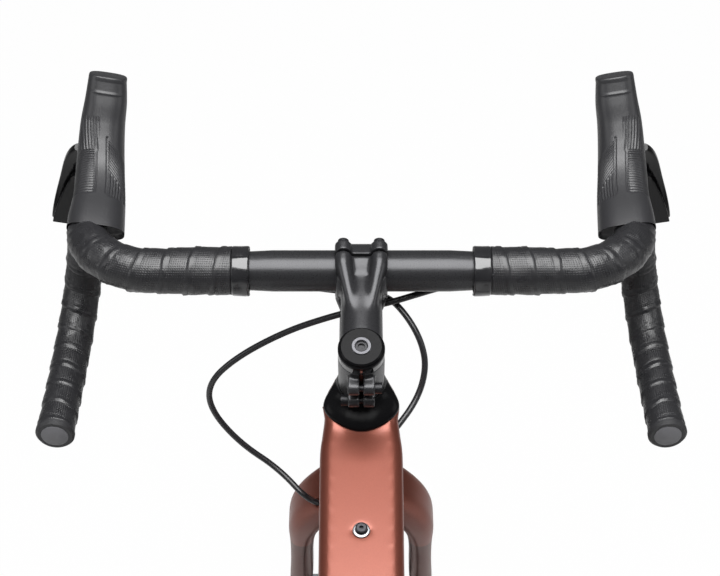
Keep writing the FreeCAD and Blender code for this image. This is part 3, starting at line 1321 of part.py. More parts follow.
SADDLE = BB + SEAT_UP * S.saddle_height
CRADLE_FOOT = -12.0
RAIL_PATH = [(6, 100, 21), (12, 86, 17), (S.rail_spacing / 2, 52, 0), (S.rail_spacing / 2, -48, 0), (30, -84, 14),
             (38, -107, 26)]
SADDLE_FORM = [(-122, 96, 34, 14), (-108, 132, 30, 22), (-78, 143, 27, 28), (-40, 122, 25, 30), (0, 84, 24, 30),
               (40, 58, 24, 28), (85, 44, 24, 25), (124, 38, 25, 21), (140, 28, 27, 13)]


def saddle_place(*place):
    return SADDLE + Vector(*place)


def make_seatpost():
    foot = POST_FOOT
    along = Rotation(ABOVE, SEAT_UP)
    post = cylinder("post_tube", S.seatpost_radius, S.seatpost_length + 10, Placement(foot, along))
    bore = cylinder("post_bore", S.seatpost_radius - 2.2, S.seatpost_length - 40,
                    Placement(foot - SEAT_UP * 5, along))
    trim = doc.addObject("Part::Box", "post_trim")
    trim.Length, trim.Width, trim.Height = 80, 80, 60
    trim.Placement = Placement(saddle_place(-40, -40, CRADLE_FOOT - S.fit_gap), Rotation())
    return node("seatpost", cut_from("seatpost", post, fused("post_tools", [bore, trim])))


def rail_pair(extra):
    rail = tube(rounded_path([saddle_place(*point) for point in RAIL_PATH]), S.rail_radius + extra)
    return [rail, mirrored(rail)]


def make_saddle_clamp():
    grooves = rail_pair(S.fit_gap / 2)
    holes = [rod(S.bolt_radius + S.fit_gap, saddle_place(0, y, -30), saddle_place(0, y, 30)) for y in (-11, 11)]
    lower = block(saddle_place(-29, -17, CRADLE_FOOT), saddle_place(29, 17, -0.3)).cut(grooves + holes)
    upper = block(saddle_place(-29, -15, 0.3), saddle_place(29, 15, 7.5)).cut(grooves + holes)
    bolts = []
    for y in (-11, 11):
        seat = saddle_place(0, y, 7.5 + S.fit_gap)
        bolts.append(rod(S.bolt_radius, seat - ABOVE * 18, seat).fuse(
            rod(S.bolt_head_radius, seat, seat + ABOVE * S.bolt_head_height)))
    return solid_node("saddle_clamp", Part.Compound([lower, upper] + bolts))


def make_saddle():
    long, wide, deep = S.saddle_length / 262, S.saddle_width / 143, S.saddle_pad / 30

    def wires(narrower, foot, height):
        made = []
        for y, width, base, crown in SADDLE_FORM:
            tall = crown * deep if height is None else height
            middle = saddle_place(0, y * long, base + foot + tall / 2)
            made.append(section(rounded_rectangle(width * wide - narrower, tall, 0.46 * tall), middle, ALONG, ABOVE))
        return made

    shell = loft(wires(6, -5.2, 5.0)).cut(rail_pair(S.fit_gap))
    cover = loft(wires(0, 0, None)).cut([loft(wires(6, -5.2, 5.1))] + rail_pair(S.fit_gap))
    solid_node("saddle_shell", max(shell.Solids, key=lambda part: part.Volume))
    solid_node("saddle_cover", max(cover.Solids, key=lambda part: part.Volume))
    solid_node("saddle_rails", Part.Compound(rail_pair(0.0)))


make_seatpost()
make_saddle_clamp()
make_saddle()


# Brake calipers

def caliper(profile, rotor_x, pad_box):
    """A caliper body and two pads round the rotor; the profile is in y and z from the axle."""
    slot = rod(S.rotor_radius + 2, Vector(rotor_x - 4.6, 0, 0), Vector(rotor_x + 4.6, 0, 0))
    corners = [Vector(rotor_x - 19, y, z) for y, z in profile]
    body = Part.Face(Part.makePolygon(corners + corners[:1])).extrude(ACROSS * 32)
    body = body.cut(slot)
    swept = rod(S.rotor_radius + 1.8, Vector(rotor_x - 5, 0, 0), Vector(rotor_x + 5, 0, 0))
    (low_y, low_z), (high_y, high_z) = pad_box
    pads = []
    for side in (-1, 1):
        ends = sorted((rotor_x + side * (S.rotor_thickness / 2 + 0.4), rotor_x + side * 4.5))
        pads.append(block(Vector(ends[0], low_y, low_z), Vector(ends[1], high_y, high_z)).common(swept))
    return body, pads


def make_calipers():
    body, pads = caliper([(-54, 46), (-54, 80), (-48, 86), (-14, 86), (-10, 42), (-50, 42)], -S.front_rotor_offset,
                         ((-46, 50), (-27, 72)))
    frame = STEER * Placement(Vector(0, S.fork_rake, -AXLE_BELOW), Rotation())
    for shape in [body] + pads:
        shape.Placement = frame * shape.Placement
    body = max(body.cut(FORK).Solids, key=lambda part: part.Volume)
    solid_node("front_caliper", Part.Compound([body] + pads))
    body, pads = caliper([(38, -8), (86, -8), (86, 24), (80, 30), (44, 30), (38, 24)], -S.rear_rotor_offset,
                         ((46, 8), (70, 26)))
    for shape in [body] + pads:
        shape.Placement = Placement(REAR, Rotation())
    body = max(body.cut([CHAIN_STAYS, SEAT_STAYS]).Solids, key=lambda part: part.Volume)
    solid_node("rear_caliper", Part.Compound([body] + pads))


make_calipers()


# Chain loop

def pitch_radius(teeth):
    return S.chain_pitch / (2 * math.sin(math.pi / teeth))


def flat(point):
    """A point of the bicycle as seen from its right side: forwards and up."""
    return Vector(point.y, point.z, 0)


def polar(radius, angle):
    return Vector(radius * math.cos(angle), radius * math.sin(angle), 0)


GUIDE = REAR + Vector(0, S.guide_ahead, -S.guide_drop)
RING_TEETH, PULLEY_TEETH = int(S.chainring_teeth), int(S.pulley_teeth)


def chain_loop(cage_angle):
    """The chain's runs, in order, each with its length in pitches. A sense of 1 turns anticlockwise."""
    tension = flat(GUIDE) + polar(S.cage_length, cage_angle)
    wheels = [(flat(BB), RING_TEETH, -1), (tension, PULLEY_TEETH, -1), (flat(GUIDE), PULLEY_TEETH, 1),
              (flat(REAR), SPROCKETS[CHAIN_SPROCKET], -1)]
    leaves, arrives, headings = [], [], []
    for i, (centre, teeth, sense) in enumerate(wheels):
        other, other_teeth, other_sense = wheels[(i + 1) % 4]
        gap = other - centre
        lift = other_sense * pitch_radius(other_teeth) - sense * pitch_radius(teeth)
        heading = math.atan2(gap.y, gap.x) - math.asin(lift / gap.Length)
        left = polar(1, heading + math.pi / 2)
        leaves.append(centre - left * (sense * pitch_radius(teeth)))
        arrives.append(other - left * (other_sense * pitch_radius(other_teeth)))
        headings.append(heading)
    runs = []
    for i, (centre, teeth, sense) in enumerate(wheels):
        start, end = arrives[i - 1] - centre, leaves[i] - centre
        first, last = math.atan2(start.y, start.x), math.atan2(end.y, end.x)
        sweep = (sense * (last - first)) % (2 * math.pi)
        runs.append((sweep * teeth / (2 * math.pi), i, first))
        runs.append(((arrives[i] - leaves[i]).Length / S.chain_pitch, None, (leaves[i], headings[i])))
    return wheels, runs, sum(run[0] for run in runs)


def solve_cage():
    """The cage angle that makes the loop a whole, even number of links."""
    middle = math.radians(-78)
    links = 2 * round(chain_loop(middle)[2] / 2)
    low, high = middle - math.radians(28), middle + math.radians(28)
    rising = chain_loop(high)[2] > chain_loop(low)[2]
    for _ in range(60):
        middle = (low + high) / 2
        if (chain_loop(middle)[2] < links) == rising:
            low = middle
        else:
            high = middle
    return middle, links


CAGE_ANGLE, LINKS = solve_cage()
WHEELS, RUNS, _ = chain_loop(CAGE_ANGLE)
TENSION = Vector(0, WHEELS[1][0].x, WHEELS[1][0].y)


def roller_places():
    """Every roller of the chain, and the angle of a tooth gap on each wheel."""
    places, phases, passed, position = [], {}, 0.0, 0
    for length, wheel, start in RUNS:
        while position < LINKS and position <= passed + length + 1e-9:
            share = position - passed
            if wheel is None:
                places.append(start[0] + polar(share * S.chain_pitch, start[1]))
            else:
                centre, teeth, sense = WHEELS[wheel]
                angle = start + sense * share * 2 * math.pi / teeth
                phases.setdefault(wheel, angle)
                places.append(centre + polar(pitch_radius(teeth), angle))
            position += 1
        passed += length
    return places, phases


ROLLERS, PHASES = roller_places()


def link_plate(low, high):
    """A waisted side plate between two lateral faces, from one pin to the next."""
    end, half, waist = S.chain_pitch, 4.0, 3.1
    edges = [Part.Arc(Vector(0, half, 0), Vector(-half, 0, 0), Vector(0, -half, 0)).toShape(),
             Part.Arc(Vector(0, -half, 0), Vector(end / 2, -waist, 0), Vector(end, -half, 0)).toShape(),
             Part.Arc(Vector(end, -half, 0), Vector(end + half, 0, 0), Vector(end, half, 0)).toShape(),
             Part.Arc(Vector(end, half, 0), Vector(end / 2, waist, 0), Vector(0, half, 0)).toShape()]
    made = Part.Face(Part.Wire(edges)).extrude(ABOVE * (high - low))
    made.translate(ABOVE * low)
    return made


def chain_links():
    width, plate, pin = S.roller_width / 2, S.plate_thickness, 1.7
    ends = (Vector(0, 0, 0), Vector(S.chain_pitch, 0, 0))
    inner_out = width + plate
    inner = link_plate(width, inner_out).fuse([link_plate(-inner_out, -width)] + [
        rod(S.roller_radius, end - ABOVE * width, end + ABOVE * width) for end in ends])
    inner = inner.cut([rod(pin + 0.1, end - ABOVE * 5, end + ABOVE * 5) for end in ends])
    low, high = inner_out + 0.08, inner_out + 0.08 + plate
    outer = link_plate(low, high).fuse([link_plate(-high, -low)] + [
        rod(pin, end - ABOVE * high, end + ABOVE * high) for end in ends])
    return inner, outer


def make_chain():
    inner, outer = chain_links()
    links = []
    for i, place in enumerate(ROLLERS):
        following = ROLLERS[(i + 1) % LINKS]
        run = following - place
        turn = Rotation(ABOVE, math.degrees(math.atan2(run.y, run.x)))
        link = (outer if i % 2 else inner).copy()
        link.Placement = Placement(Vector(S.chain_line, place.x, place.y), SIDEWAYS * turn)
        links.append(link)
    return solid_node("chain", Part.Compound(links))


make_chain()


# Toothed wheels, cranks and pedals

def toothed_disc(teeth, thickness, phase):
    """A sprocket with roller seats and tapered teeth; its axis is local Z, its middle at 0."""
    radius, step = pitch_radius(teeth), 2 * math.pi / teeth
    seat, open_half = S.roller_radius + 0.1, math.radians(62)
    corners = []
    for i in range(teeth):
        angle = phase + i * step
        radial, side = polar(1, angle), polar(1, angle + math.pi / 2)
        centre, dip, reach = radial * radius, seat * math.cos(open_half), seat * math.sin(open_half)
        tip, tip_side = polar(1, angle + step / 2), polar(1, angle + step / 2 + math.pi / 2)
        crest = tip * (radius * math.cos(step / 2) + 3.3)
        corners.append((centre - radial * dip - side * reach, centre - radial * seat,
                        centre - radial * dip + side * reach,
                        crest - tip_side * 0.8, crest + tip_side * 0.8))
    edges = []
    for i, (first, bottom, last, tip_a, tip_b) in enumerate(corners):
        following = corners[(i + 1) % teeth][0]
        edges.append(Part.Arc(first, bottom, last).toShape())
        edges += [Part.LineSegment(a, b).toShape() for a, b in ((last, tip_a), (tip_a, tip_b), (tip_b, following))]
    made = Part.Face(Part.Wire(edges)).extrude(ABOVE * thickness)
    made.translate(ABOVE * (-thickness / 2))
    return made


def on_axle(point, lateral):
    """Carries local Z to the rider's right at a lateral place on an axle."""
    return Placement(Vector(lateral, point.y, point.z), SIDEWAYS)


def ring_of(radius, low, high):
    return Part.makeCylinder(radius, high - low, Vector(0, 0, low))


def make_cassette():
    """Twelve sprockets on one stepped drum, and the driver that carries them."""
    bore, thick = 12.6, 1.5
    pieces, holes = [], []
    for k, teeth in enumerate(SPROCKETS):
        lateral = (CHAIN_SPROCKET - k) * S.sprocket_pitch
        disc = toothed_disc(teeth, thick, PHASES[3])
        disc.translate(ABOVE * lateral)
        pieces.append(disc)
        if k + 1 < len(SPROCKETS):
            pieces.append(ring_of(pitch_radius(teeth) - 4.7, lateral - S.sprocket_pitch, lateral))
    foot = (CHAIN_SPROCKET - len(SPROCKETS) + 1) * S.sprocket_pitch
    whole = pieces[0].fuse(pieces[1:])
    holes.append(ring_of(bore, -60, 60))
    for i in range(6):
        window = ring_of(13, foot - 3, foot + 3)
        window.translate(polar(46, i * math.pi / 3))
        holes.append(window)
    whole = one_solid(whole.cut(holes), "cassette")
    low, high = DRIVER_START + S.run_gap - S.chain_line, S.rear_spacing / 2 - 2 - S.chain_line
    driver = ring_of(bore - S.fit_gap, low, high)
    driver = driver.cut(ring_of(S.axle_radius + S.run_gap + 3.2 + 0.08, low - 5, high + 5))
    return solid_node("cassette", Part.Compound([whole, driver]), on_axle(REAR, S.chain_line))


def make_chainring():
    disc = toothed_disc(RING_TEETH, 1.8, PHASES[0])
    holes = [ring_of(18 + S.fit_gap, -5, 5)]
    for i in range(6):
        window = ring_of(pitch_radius(RING_TEETH) * 0.2, -5, 5)
        window.translate(polar(pitch_radius(RING_TEETH) * 0.6, (i + 0.5) * math.pi / 3))
        holes.append(window)
    return solid_node("chainring", one_solid(disc.cut(holes), "chainring"), on_axle(BB, S.chain_line))


PEDAL_OUT = S.crank_inner + S.crank_thickness


def crank_arm(name, side):
    """A tapered arm from the spindle to the pedal eye, drawn on the plane square to the spindle."""
    body = new_body(name)
    reach = S.crank_length * side
    first, last = ((0, -18), (0, 18)) if side > 0 else ((0, 18), (0, -18))
    padded(body, "YZ_Plane", S.crank_thickness, outlines=[[
        (*first, 18), (reach, -14 * side), (reach + 14 * side, 0, 14), (reach, 14 * side, 14), last,
        (-18 * side, 0, 18)]])
    pocketed(body, "YZ_Plane", circles=[(reach, 0, 7)])
    return body


def crank_collar(name, low, high):
    """A sleeve on the spindle between an arm and the bottom bracket."""
    body = new_body(name)
    bore = S.spindle_radius + S.fit_gap / 2
    turned(body, [(low, bore), (high, bore), (high, 18), (low, 18)])
    body.Placement = Placement(BB, Rotation())
    return body


def make_cranks():
    """Two arms and two collars on the spindle, and the axles of the pedals."""
    arms = []
    for name, side, start in (("right_arm", 1, S.crank_inner), ("left_arm", -1, -PEDAL_OUT)):
        arm = crank_arm(name, side)
        pocketed(arm, "YZ_Plane", circles=[(0, 0, S.spindle_radius + S.fit_gap / 2)])
        arm.Placement = Placement(BB + ACROSS * start, Rotation())
        arms.append(arm)
    face, end = S.bb_shell_width / 2 + 2.4 + S.run_gap, S.crank_inner - S.fit_gap
    collars = [crank_collar("right_collar", face, end), crank_collar("left_collar", -end, -face)]
    spindle = cylinder("spindle", S.spindle_radius, PEDAL_OUT * 2, Placement(BB - ACROSS * PEDAL_OUT, TO_RIGHT))
    return compound_node("crank_arms", arms + collars + [spindle, pedal_axle("left", -1), pedal_axle("right", 1)])


def pedal_axle(name, side):
    body = new_body(f"pedal_axle_{name}")
    start = S.crank_inner + 1
    turned(body, [(start, 0), (PEDAL_OUT + 3 + S.pedal_width + 4, 0), (PEDAL_OUT + 3 + S.pedal_width + 4, 5),
                  (PEDAL_OUT + 3, 5), (PEDAL_OUT + 3, 9), (PEDAL_OUT + S.fit_gap, 9), (PEDAL_OUT + S.fit_gap, 6.9),
                  (start, 6.9)])
    turn = Rotation() if side > 0 else Rotation(ABOVE, 180)
    body.Placement = Placement(BB + ALONG * (side * S.crank_length), turn)
    return body


def pedal(label, side):
    """A flat pedal with open windows, running on its axle."""
    body = new_body(label)
    wide, long, cut = S.pedal_width / 2, S.pedal_length / 2, 14
    padded(body, "XY_Plane", S.pedal_thickness, middle=True, outlines=[[
        (-wide, -long + cut), (-wide + cut, -long), (wide - cut, -long), (wide, -long + cut), (wide, long - cut),
        (wide - cut, long), (-wide + cut, long), (-wide, long - cut)]])
    for low in (-1, 1):
        ends = sorted((low * 11.0, low * float(long - 9)))
        pocketed(body, "XY_Plane", outlines=[[(-wide + 12, ends[0]), (wide - 12, ends[0]), (wide - 12, ends[1]),
                                              (-wide + 12, ends[1])]])
    pocketed(body, "YZ_Plane", circles=[(0, 0, 5 + 0.08)])
    middle = PEDAL_OUT + 3 + S.run_gap + S.pedal_width / 2
    return node(label, body, Placement(BB + Vector(side * middle, side * S.crank_length, 0), Rotation()))


make_cassette()
make_chainring()
make_cranks()
pedal("pedal_left", -1)
pedal("pedal_right", 1)


# Rear derailleur

PLATE_IN, PLATE_OUT = 5.2, 7.4
LINK_X = 84.0
LINK_RUN = Vector(0, 34, -42)
LINK_AIM = LINK_RUN * (1 / LINK_RUN.Length)
LINK_AXIS = Vector(0, 42, 34).normalize()
LOWER_PIVOT = Vector(LINK_X, GUIDE.y - 7, GUIDE.z + 13)
UPPER_PIVOT = LOWER_PIVOT - LINK_RUN
LINK_BARREL, LINK_HALF, EAR_THICK = 5.5, 8.0, 4.0


def ears(pivot, outward):
    """Two ears beside a link's barrel and the web that joins them on the outward side, with their pin."""
    parts = [rod(2.5, pivot - LINK_AXIS * (LINK_HALF + 3), pivot + LINK_AXIS * (LINK_HALF + 3))]
    for side in (-1, 1):
        start = pivot + LINK_AXIS * (side * (LINK_HALF + S.run_gap))
        parts.append(rod(7, start, start + LINK_AXIS * (side * EAR_THICK)))
    half = LINK_HALF + S.run_gap + EAR_THICK
    web = Part.makeBox(14, 10, 2 * half, Vector(-7, LINK_BARREL + 1, -half))
    web.Placement = Placement(pivot, Rotation(outward.cross(LINK_AXIS), outward, LINK_AXIS, "ZYX"))
    return parts + [web]


def make_b_knuckle():
    parts = ears(UPPER_PIVOT, LINK_AIM * -1)
    back = UPPER_PIVOT - LINK_AIM * (LINK_BARREL + 7)
    bolt = Vector(0, HANGER_AT.y, HANGER_AT.z)
    hub = bolt + ACROSS * (HANGER_OUT + S.fit_gap)
    parts += [rod(10, hub, hub + ACROSS * 12), rod(6.5, hub + ACROSS * 6.5, Vector(LINK_X, back.y, back.z))]
    cell = Part.makeBox(15, 24, 15, Vector(-7.5, 0, -7.5))
    cell.Placement = Placement(back, Rotation(ACROSS, LINK_AIM * -1, LINK_AXIS * -1, "XYZ"))
    whole = parts[0].fuse(parts[1:] + [cell]).cut(rod(13, bolt + ACROSS * (HANGER_IN - 8), hub))
    whole = whole.fuse(rod(5 - S.fit_gap, bolt + ACROSS * (HANGER_IN + 0.5), hub + ACROSS))
    return solid_node("derailleur_b_knuckle", one_solid(whole, "B knuckle"))


def make_link():
    parts = [rod(LINK_BARREL, point - LINK_AXIS * LINK_HALF, point + LINK_AXIS * LINK_HALF)
             for point in (UPPER_PIVOT, LOWER_PIVOT)]
    bar = Part.makeBox(8, LINK_RUN.Length, 2 * LINK_HALF - 1, Vector(-4, 0, 0.5 - LINK_HALF))
    bar.Placement = Placement(UPPER_PIVOT, Rotation(LINK_AIM.cross(LINK_AXIS), LINK_AIM, LINK_AXIS, "ZYX"))
    whole = parts[0].fuse([parts[1], bar])
    bores = [rod(2.5 + 0.08, point - LINK_AXIS * 20, point + LINK_AXIS * 20)
             for point in (UPPER_PIVOT, LOWER_PIVOT)]
    return solid_node("derailleur_link", one_solid(whole.cut(bores), "derailleur link"))


def make_p_knuckle():
    inner = S.chain_line + PLATE_OUT + S.run_gap
    hub = Vector(inner, GUIDE.y, GUIDE.z)
    parts = ears(LOWER_PIVOT, LINK_AIM) + [rod(10.5, hub, hub + ACROSS * 17)]
    arm = LOWER_PIVOT + LINK_AIM * (LINK_BARREL + 7)
    parts.append(rod(6, hub + ACROSS * 12, arm))
    whole = parts[0].fuse(parts[1:])
    whole = whole.cut(rod(5 + 0.08, hub - ACROSS, hub + ACROSS * 13))
    return solid_node("derailleur_p_knuckle", one_solid(whole, "P knuckle"))


def make_cage():
    aim = TENSION - GUIDE
    parts = []
    for low, high in ((-PLATE_OUT, -PLATE_IN), (PLATE_IN, PLATE_OUT)):
        a, b = S.chain_line + low, S.chain_line + high
        parts += [rod(13, Vector(a, end.y, end.z), Vector(b, end.y, end.z)) for end in (GUIDE, TENSION)]
        strip = Part.makeBox(b - a, aim.Length, 18, Vector(0, 0, -9))
        side = ACROSS.cross(aim).normalize()
        strip.Placement = Placement(Vector(a, GUIDE.y, GUIDE.z), Rotation(ACROSS, aim, side, "XYZ"))
        parts.append(strip)
    for end in (GUIDE, TENSION):
        parts.append(rod(3, Vector(S.chain_line - PLATE_OUT, end.y, end.z),
                         Vector(S.chain_line + PLATE_OUT, end.y, end.z)))
    outer = Vector(S.chain_line + PLATE_OUT, GUIDE.y, GUIDE.z)
    parts.append(rod(5, outer - ACROSS, outer + ACROSS * 12))
    return solid_node("derailleur_cage", one_solid(parts[0].fuse(parts[1:]), "derailleur cage"))


def make_pulley(label, point, wheel):
    disc = toothed_disc(PULLEY_TEETH, 1.8, PHASES[wheel])
    disc = disc.fuse(ring_of(8, S.run_gap - PLATE_IN, PLATE_IN - S.run_gap))
    for i in range(6):
        window = ring_of(3.4, -6, 6)
        window.translate(polar(14.2, i * math.pi / 3))
        disc = disc.cut(window)
    return solid_node(label, one_solid(disc.cut(ring_of(3 + 0.08, -20, 20)), label), on_axle(point, S.chain_line))


make_b_knuckle()
make_link()
make_p_knuckle()
make_cage()
make_pulley("guide_pulley", GUIDE, 2)
make_pulley("tension_pulley", TENSION, 1)


# Checks and files

def write_parts():
    doc.recompute()
    for feature in doc.Objects:
        if "Invalid" in feature.State or "Error" in feature.State:
            raise RuntimeError(f"{feature.Label} is {feature.State}")
    os.makedirs("parts", exist_ok=True)
    for label, feature in NODES.items():
        shape = feature.Shape
        if shape.isNull() or not shape.isValid() or not shape.Solids:
            raise RuntimeError(f"{label} has no valid shape")
        shape.exportStep(f"parts/{label}.step")


write_parts()
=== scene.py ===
"""The finished surfaces of a gravel bicycle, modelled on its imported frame."""

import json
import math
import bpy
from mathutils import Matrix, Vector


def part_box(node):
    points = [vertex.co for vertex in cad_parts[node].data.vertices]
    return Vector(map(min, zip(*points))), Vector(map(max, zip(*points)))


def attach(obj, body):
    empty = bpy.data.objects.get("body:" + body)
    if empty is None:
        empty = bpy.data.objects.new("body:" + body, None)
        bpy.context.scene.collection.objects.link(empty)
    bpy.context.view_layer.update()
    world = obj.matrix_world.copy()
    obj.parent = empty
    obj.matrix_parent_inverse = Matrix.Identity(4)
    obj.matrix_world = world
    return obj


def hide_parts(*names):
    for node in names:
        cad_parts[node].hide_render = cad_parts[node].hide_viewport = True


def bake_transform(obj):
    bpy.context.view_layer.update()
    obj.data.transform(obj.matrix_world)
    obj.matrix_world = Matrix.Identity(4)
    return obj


bl_info = {
    "name": "Gravel bicycle surfaces",
    "version": (1, 0, 0),
    "blender": (4, 5, 0),
    "location": "View3D > Sidebar > Bicycle",
    "description": "Paint, rubber, tape, tread and upholstery of a gravel bicycle on its packed frame",
    "category": "Object",
}

import bpy
from bpy.props import FloatProperty, FloatVectorProperty, IntProperty, PointerProperty
from mathutils import Matrix, Vector, noise

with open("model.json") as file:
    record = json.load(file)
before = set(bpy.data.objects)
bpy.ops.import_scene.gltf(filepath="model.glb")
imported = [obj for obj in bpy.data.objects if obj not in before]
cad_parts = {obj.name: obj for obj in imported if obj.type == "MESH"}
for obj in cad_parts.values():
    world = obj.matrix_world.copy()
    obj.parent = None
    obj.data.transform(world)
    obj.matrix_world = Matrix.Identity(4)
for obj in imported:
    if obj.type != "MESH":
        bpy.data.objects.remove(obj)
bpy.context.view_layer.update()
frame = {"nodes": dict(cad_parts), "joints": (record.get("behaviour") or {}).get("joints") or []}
MM = 0.001
FULL_TURN = 2 * math.pi
SEAM = 0.002 * MM
JOINTS = {joint["name"]: joint for joint in frame["joints"]}


def linear(code):
    """Linear light values of an sRGB hex colour."""
    parts = [int(code[i:i + 2], 16) / 255 for i in (1, 3, 5)]
    return tuple(part / 12.92 if part <= 0.04045 else ((part + 0.055) / 1.055) ** 2.4 for part in parts)


def centre_of(node_name):
    """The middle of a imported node's box."""
    low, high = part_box(node_name)
    return (low + high) / 2


# Places taken from the frame

BAR = Vector((0, centre_of("finishing_tape").y, centre_of("finishing_tape").z))
FRONT_AXLE = Vector((0, centre_of("front_rim").y, centre_of("front_rim").z))
REAR_AXLE = Vector((0, centre_of("rear_rim").y, centre_of("rear_rim").z))
WHEEL_RADIUS = FRONT_AXLE.z
STEER_FOOT = Vector(JOINTS["steering"]["pos_m"])
STEER_AXIS = Vector(JOINTS["steering"]["axis"]).normalized()
SEAT_AXIS = Vector(JOINTS["seatpost_height"]["axis"]).normalized()
STEER_SIDE = Vector((0, STEER_AXIS.z, -STEER_AXIS.y))


# Settings

class BikeColours(bpy.types.PropertyGroup):
    """The colours of the paint, rubber and tape, and a painted shade for the lower fork legs."""
    copper: FloatVectorProperty(name="Copper", description="Metallic paint of the frame", subtype="COLOR",
                                default=linear("#764236"))
    # Painted shade: a darker copper for the lower fork legs, standing in for the shade that falls on them.
    painted_leg_shade: FloatVectorProperty(name="Painted leg shade", description="Painted shade on the lower fork legs",
                              subtype="COLOR", default=linear("#4a2a22"))
    rubber: FloatVectorProperty(name="Rubber", description="Moulded lever hoods", subtype="COLOR",
                                default=linear("#242426"))
    tape: FloatVectorProperty(name="Tape", description="Wound bar tape", subtype="COLOR",
                              default=linear("#1e1e20"))


class BikeSizes(bpy.types.PropertyGroup):
    """The sizes that a maker would change."""
    tape_pitch: FloatProperty(name="Tape pitch", description="Step of one turn of tape along the bar",
                              default=20 * MM, unit="LENGTH")
    tape_step: FloatProperty(name="Tape step", description="Height of a tape edge over the turn before it",
                             default=1.0 * MM, unit="LENGTH")
    tread_count: IntProperty(name="Tread blocks", description="Blocks round the tyre in each row",
                             default=110)
    tread_height: FloatProperty(name="Tread height", description="Height of the tread blocks",
                                default=1.8 * MM, unit="LENGTH")
    frame_cell: FloatProperty(name="Frame detail", description="Cell size of the blended frame skin",
                              default=2.5 * MM, unit="LENGTH")


def colours():
    """The scene's colour settings."""
    return bpy.context.scene.bike_colours


def sizes():
    """The scene's size settings."""
    return bpy.context.scene.bike_sizes


# Modelling helpers

def take(obj):
    """Make obj the only selected and the active object."""
    bpy.ops.object.select_all(action="DESELECT")
    obj.select_set(True)
    bpy.context.view_layer.objects.active = obj


def edit(obj, *steps):
    """Run edit mode operators, each with its settings, on the whole mesh."""
    take(obj)
    bpy.ops.object.mode_set(mode="EDIT")
    bpy.ops.mesh.select_all(action="SELECT")
    for operator, settings in steps:
        operator(**settings)
    bpy.ops.object.mode_set(mode="OBJECT")


def close_up(obj):
    """Merge seams and poles and turn every face outwards."""
    edit(obj, (bpy.ops.mesh.remove_doubles, {"threshold": SEAM}),
         (bpy.ops.mesh.normals_make_consistent, {"inside": False}))


def modify(obj, kind, **settings):
    """Add a modifier, set it up and apply it."""
    made = obj.modifiers.new(kind.title(), kind)
    for name, value in settings.items():
        setattr(made, name, value)
    take(obj)
    bpy.ops.object.modifier_apply(modifier=made.name)


def shaped_grid(name, rows, columns, place):
    """A grid whose points are put where place(u, v) says, with its seams closed."""
    bpy.ops.object.select_all(action="DESELECT")
    bpy.ops.mesh.primitive_grid_add(x_subdivisions=rows, y_subdivisions=columns, size=1)
    obj = bpy.context.object
    obj.name = obj.data.name = name
    for vertex in obj.data.vertices:
        vertex.co = place(vertex.co.x + 0.5, vertex.co.y + 0.5)
    close_up(obj)
    bpy.ops.object.shade_smooth()
    return obj


def turned(name, centre, axis, profile, sides=72, sharp=math.radians(35)):
    """A piece turned about an axis from (radius, height) points in mm, with edges over sharp kept."""
    side = axis.orthogonal().normalized()
    other, rows = axis.cross(side), len(profile) - 1

    def place(u, v):
        radius, height = profile[round(u * rows)]
        angle = FULL_TURN * v
        return centre + ((side * math.cos(angle) + other * math.sin(angle)) * radius + axis * height) * MM

    made = shaped_grid(name, rows, sides, place)
    bpy.ops.object.shade_smooth_by_angle(angle=sharp)
    return made


def points_of(node_name):
    """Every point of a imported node's mesh."""
    return [vertex.co for vertex in frame["nodes"][node_name].data.vertices]


def reach(node_name, axis, side=0):
    """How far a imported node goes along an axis, on one side of the bicycle or on both."""
    return max(point.dot(axis) for point in points_of(node_name) if point.x * side >= 0)


def copy_nodes(name, *nodes):
    """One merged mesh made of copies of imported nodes."""
    bpy.ops.object.select_all(action="DESELECT")
    for node_name in nodes:
        copied = bpy.data.objects.new(name, frame["nodes"][node_name].data.copy())
        bpy.context.collection.objects.link(copied)
        copied.select_set(True)
        bpy.context.view_layer.objects.active = copied
    if len(nodes) > 1:
        bpy.ops.object.join()
    obj = bpy.context.object
    obj.name = obj.data.name = name
    edit(obj, (bpy.ops.mesh.customdata_custom_splitnormals_clear, {}),
         (bpy.ops.mesh.remove_doubles, {"threshold": SEAM}))
    return obj


def mirror_copy(obj, name):
    """The same mesh on the other side of the bicycle."""
    copied = bpy.data.objects.new(name, obj.data.copy())
    bpy.context.collection.objects.link(copied)
    copied.data.transform(Matrix.Scale(-1, 4, (1, 0, 0)))
    edit(copied, (bpy.ops.mesh.normals_make_consistent, {"inside": False}))
    return copied


def weigh_near(obj, name, places):
    """A vertex group that fades out over the outer half of each (point, radius) place."""
    group = obj.vertex_groups.new(name=name)
    for vertex in obj.data.vertices:
        share = max(1 - (vertex.co - point).length / radius for point, radius in places)
        if share > 0:
            group.add([vertex.index], min(2 * share, 1.0), "REPLACE")
    return group.name


def settle(obj, body, slot, material, *nodes):
    """Give a finished piece its material and its body, and hide the imported nodes that it stands for."""
    obj.data.materials.clear()
    obj.data.materials.append(FINISH[material])
    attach(obj, body)
    if nodes:
        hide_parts(*nodes)
    return obj


def dress(material, *nodes):
    """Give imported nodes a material."""
    for name in nodes:
        slots = frame["nodes"][name].data.materials
        slots.clear()
        slots.append(FINISH[material])


def settle_pair(right, left_name, *where):
    """Settle a piece and its copy on the other side of the bicycle."""
    left = mirror_copy(right, left_name)
    settle(right, *where)
    settle(left, *where)


def blend_skin(name, nodes, body, slot, material, cell, passes, junctions=(), junction_passes=30):
    """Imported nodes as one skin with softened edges, and wider blends at the junctions."""
    skin = copy_nodes(name, *nodes)
    modify(skin, "REMESH", mode="VOXEL", voxel_size=cell)
    modify(skin, "SMOOTH", factor=0.5, iterations=passes)
    if junctions:
        group = weigh_near(skin, "junctions", junctions)
        modify(skin, "SMOOTH", factor=0.5, iterations=junction_passes, vertex_group=group)
    take(skin)
    bpy.ops.object.shade_smooth()
    return settle(skin, body, slot, material, *nodes)


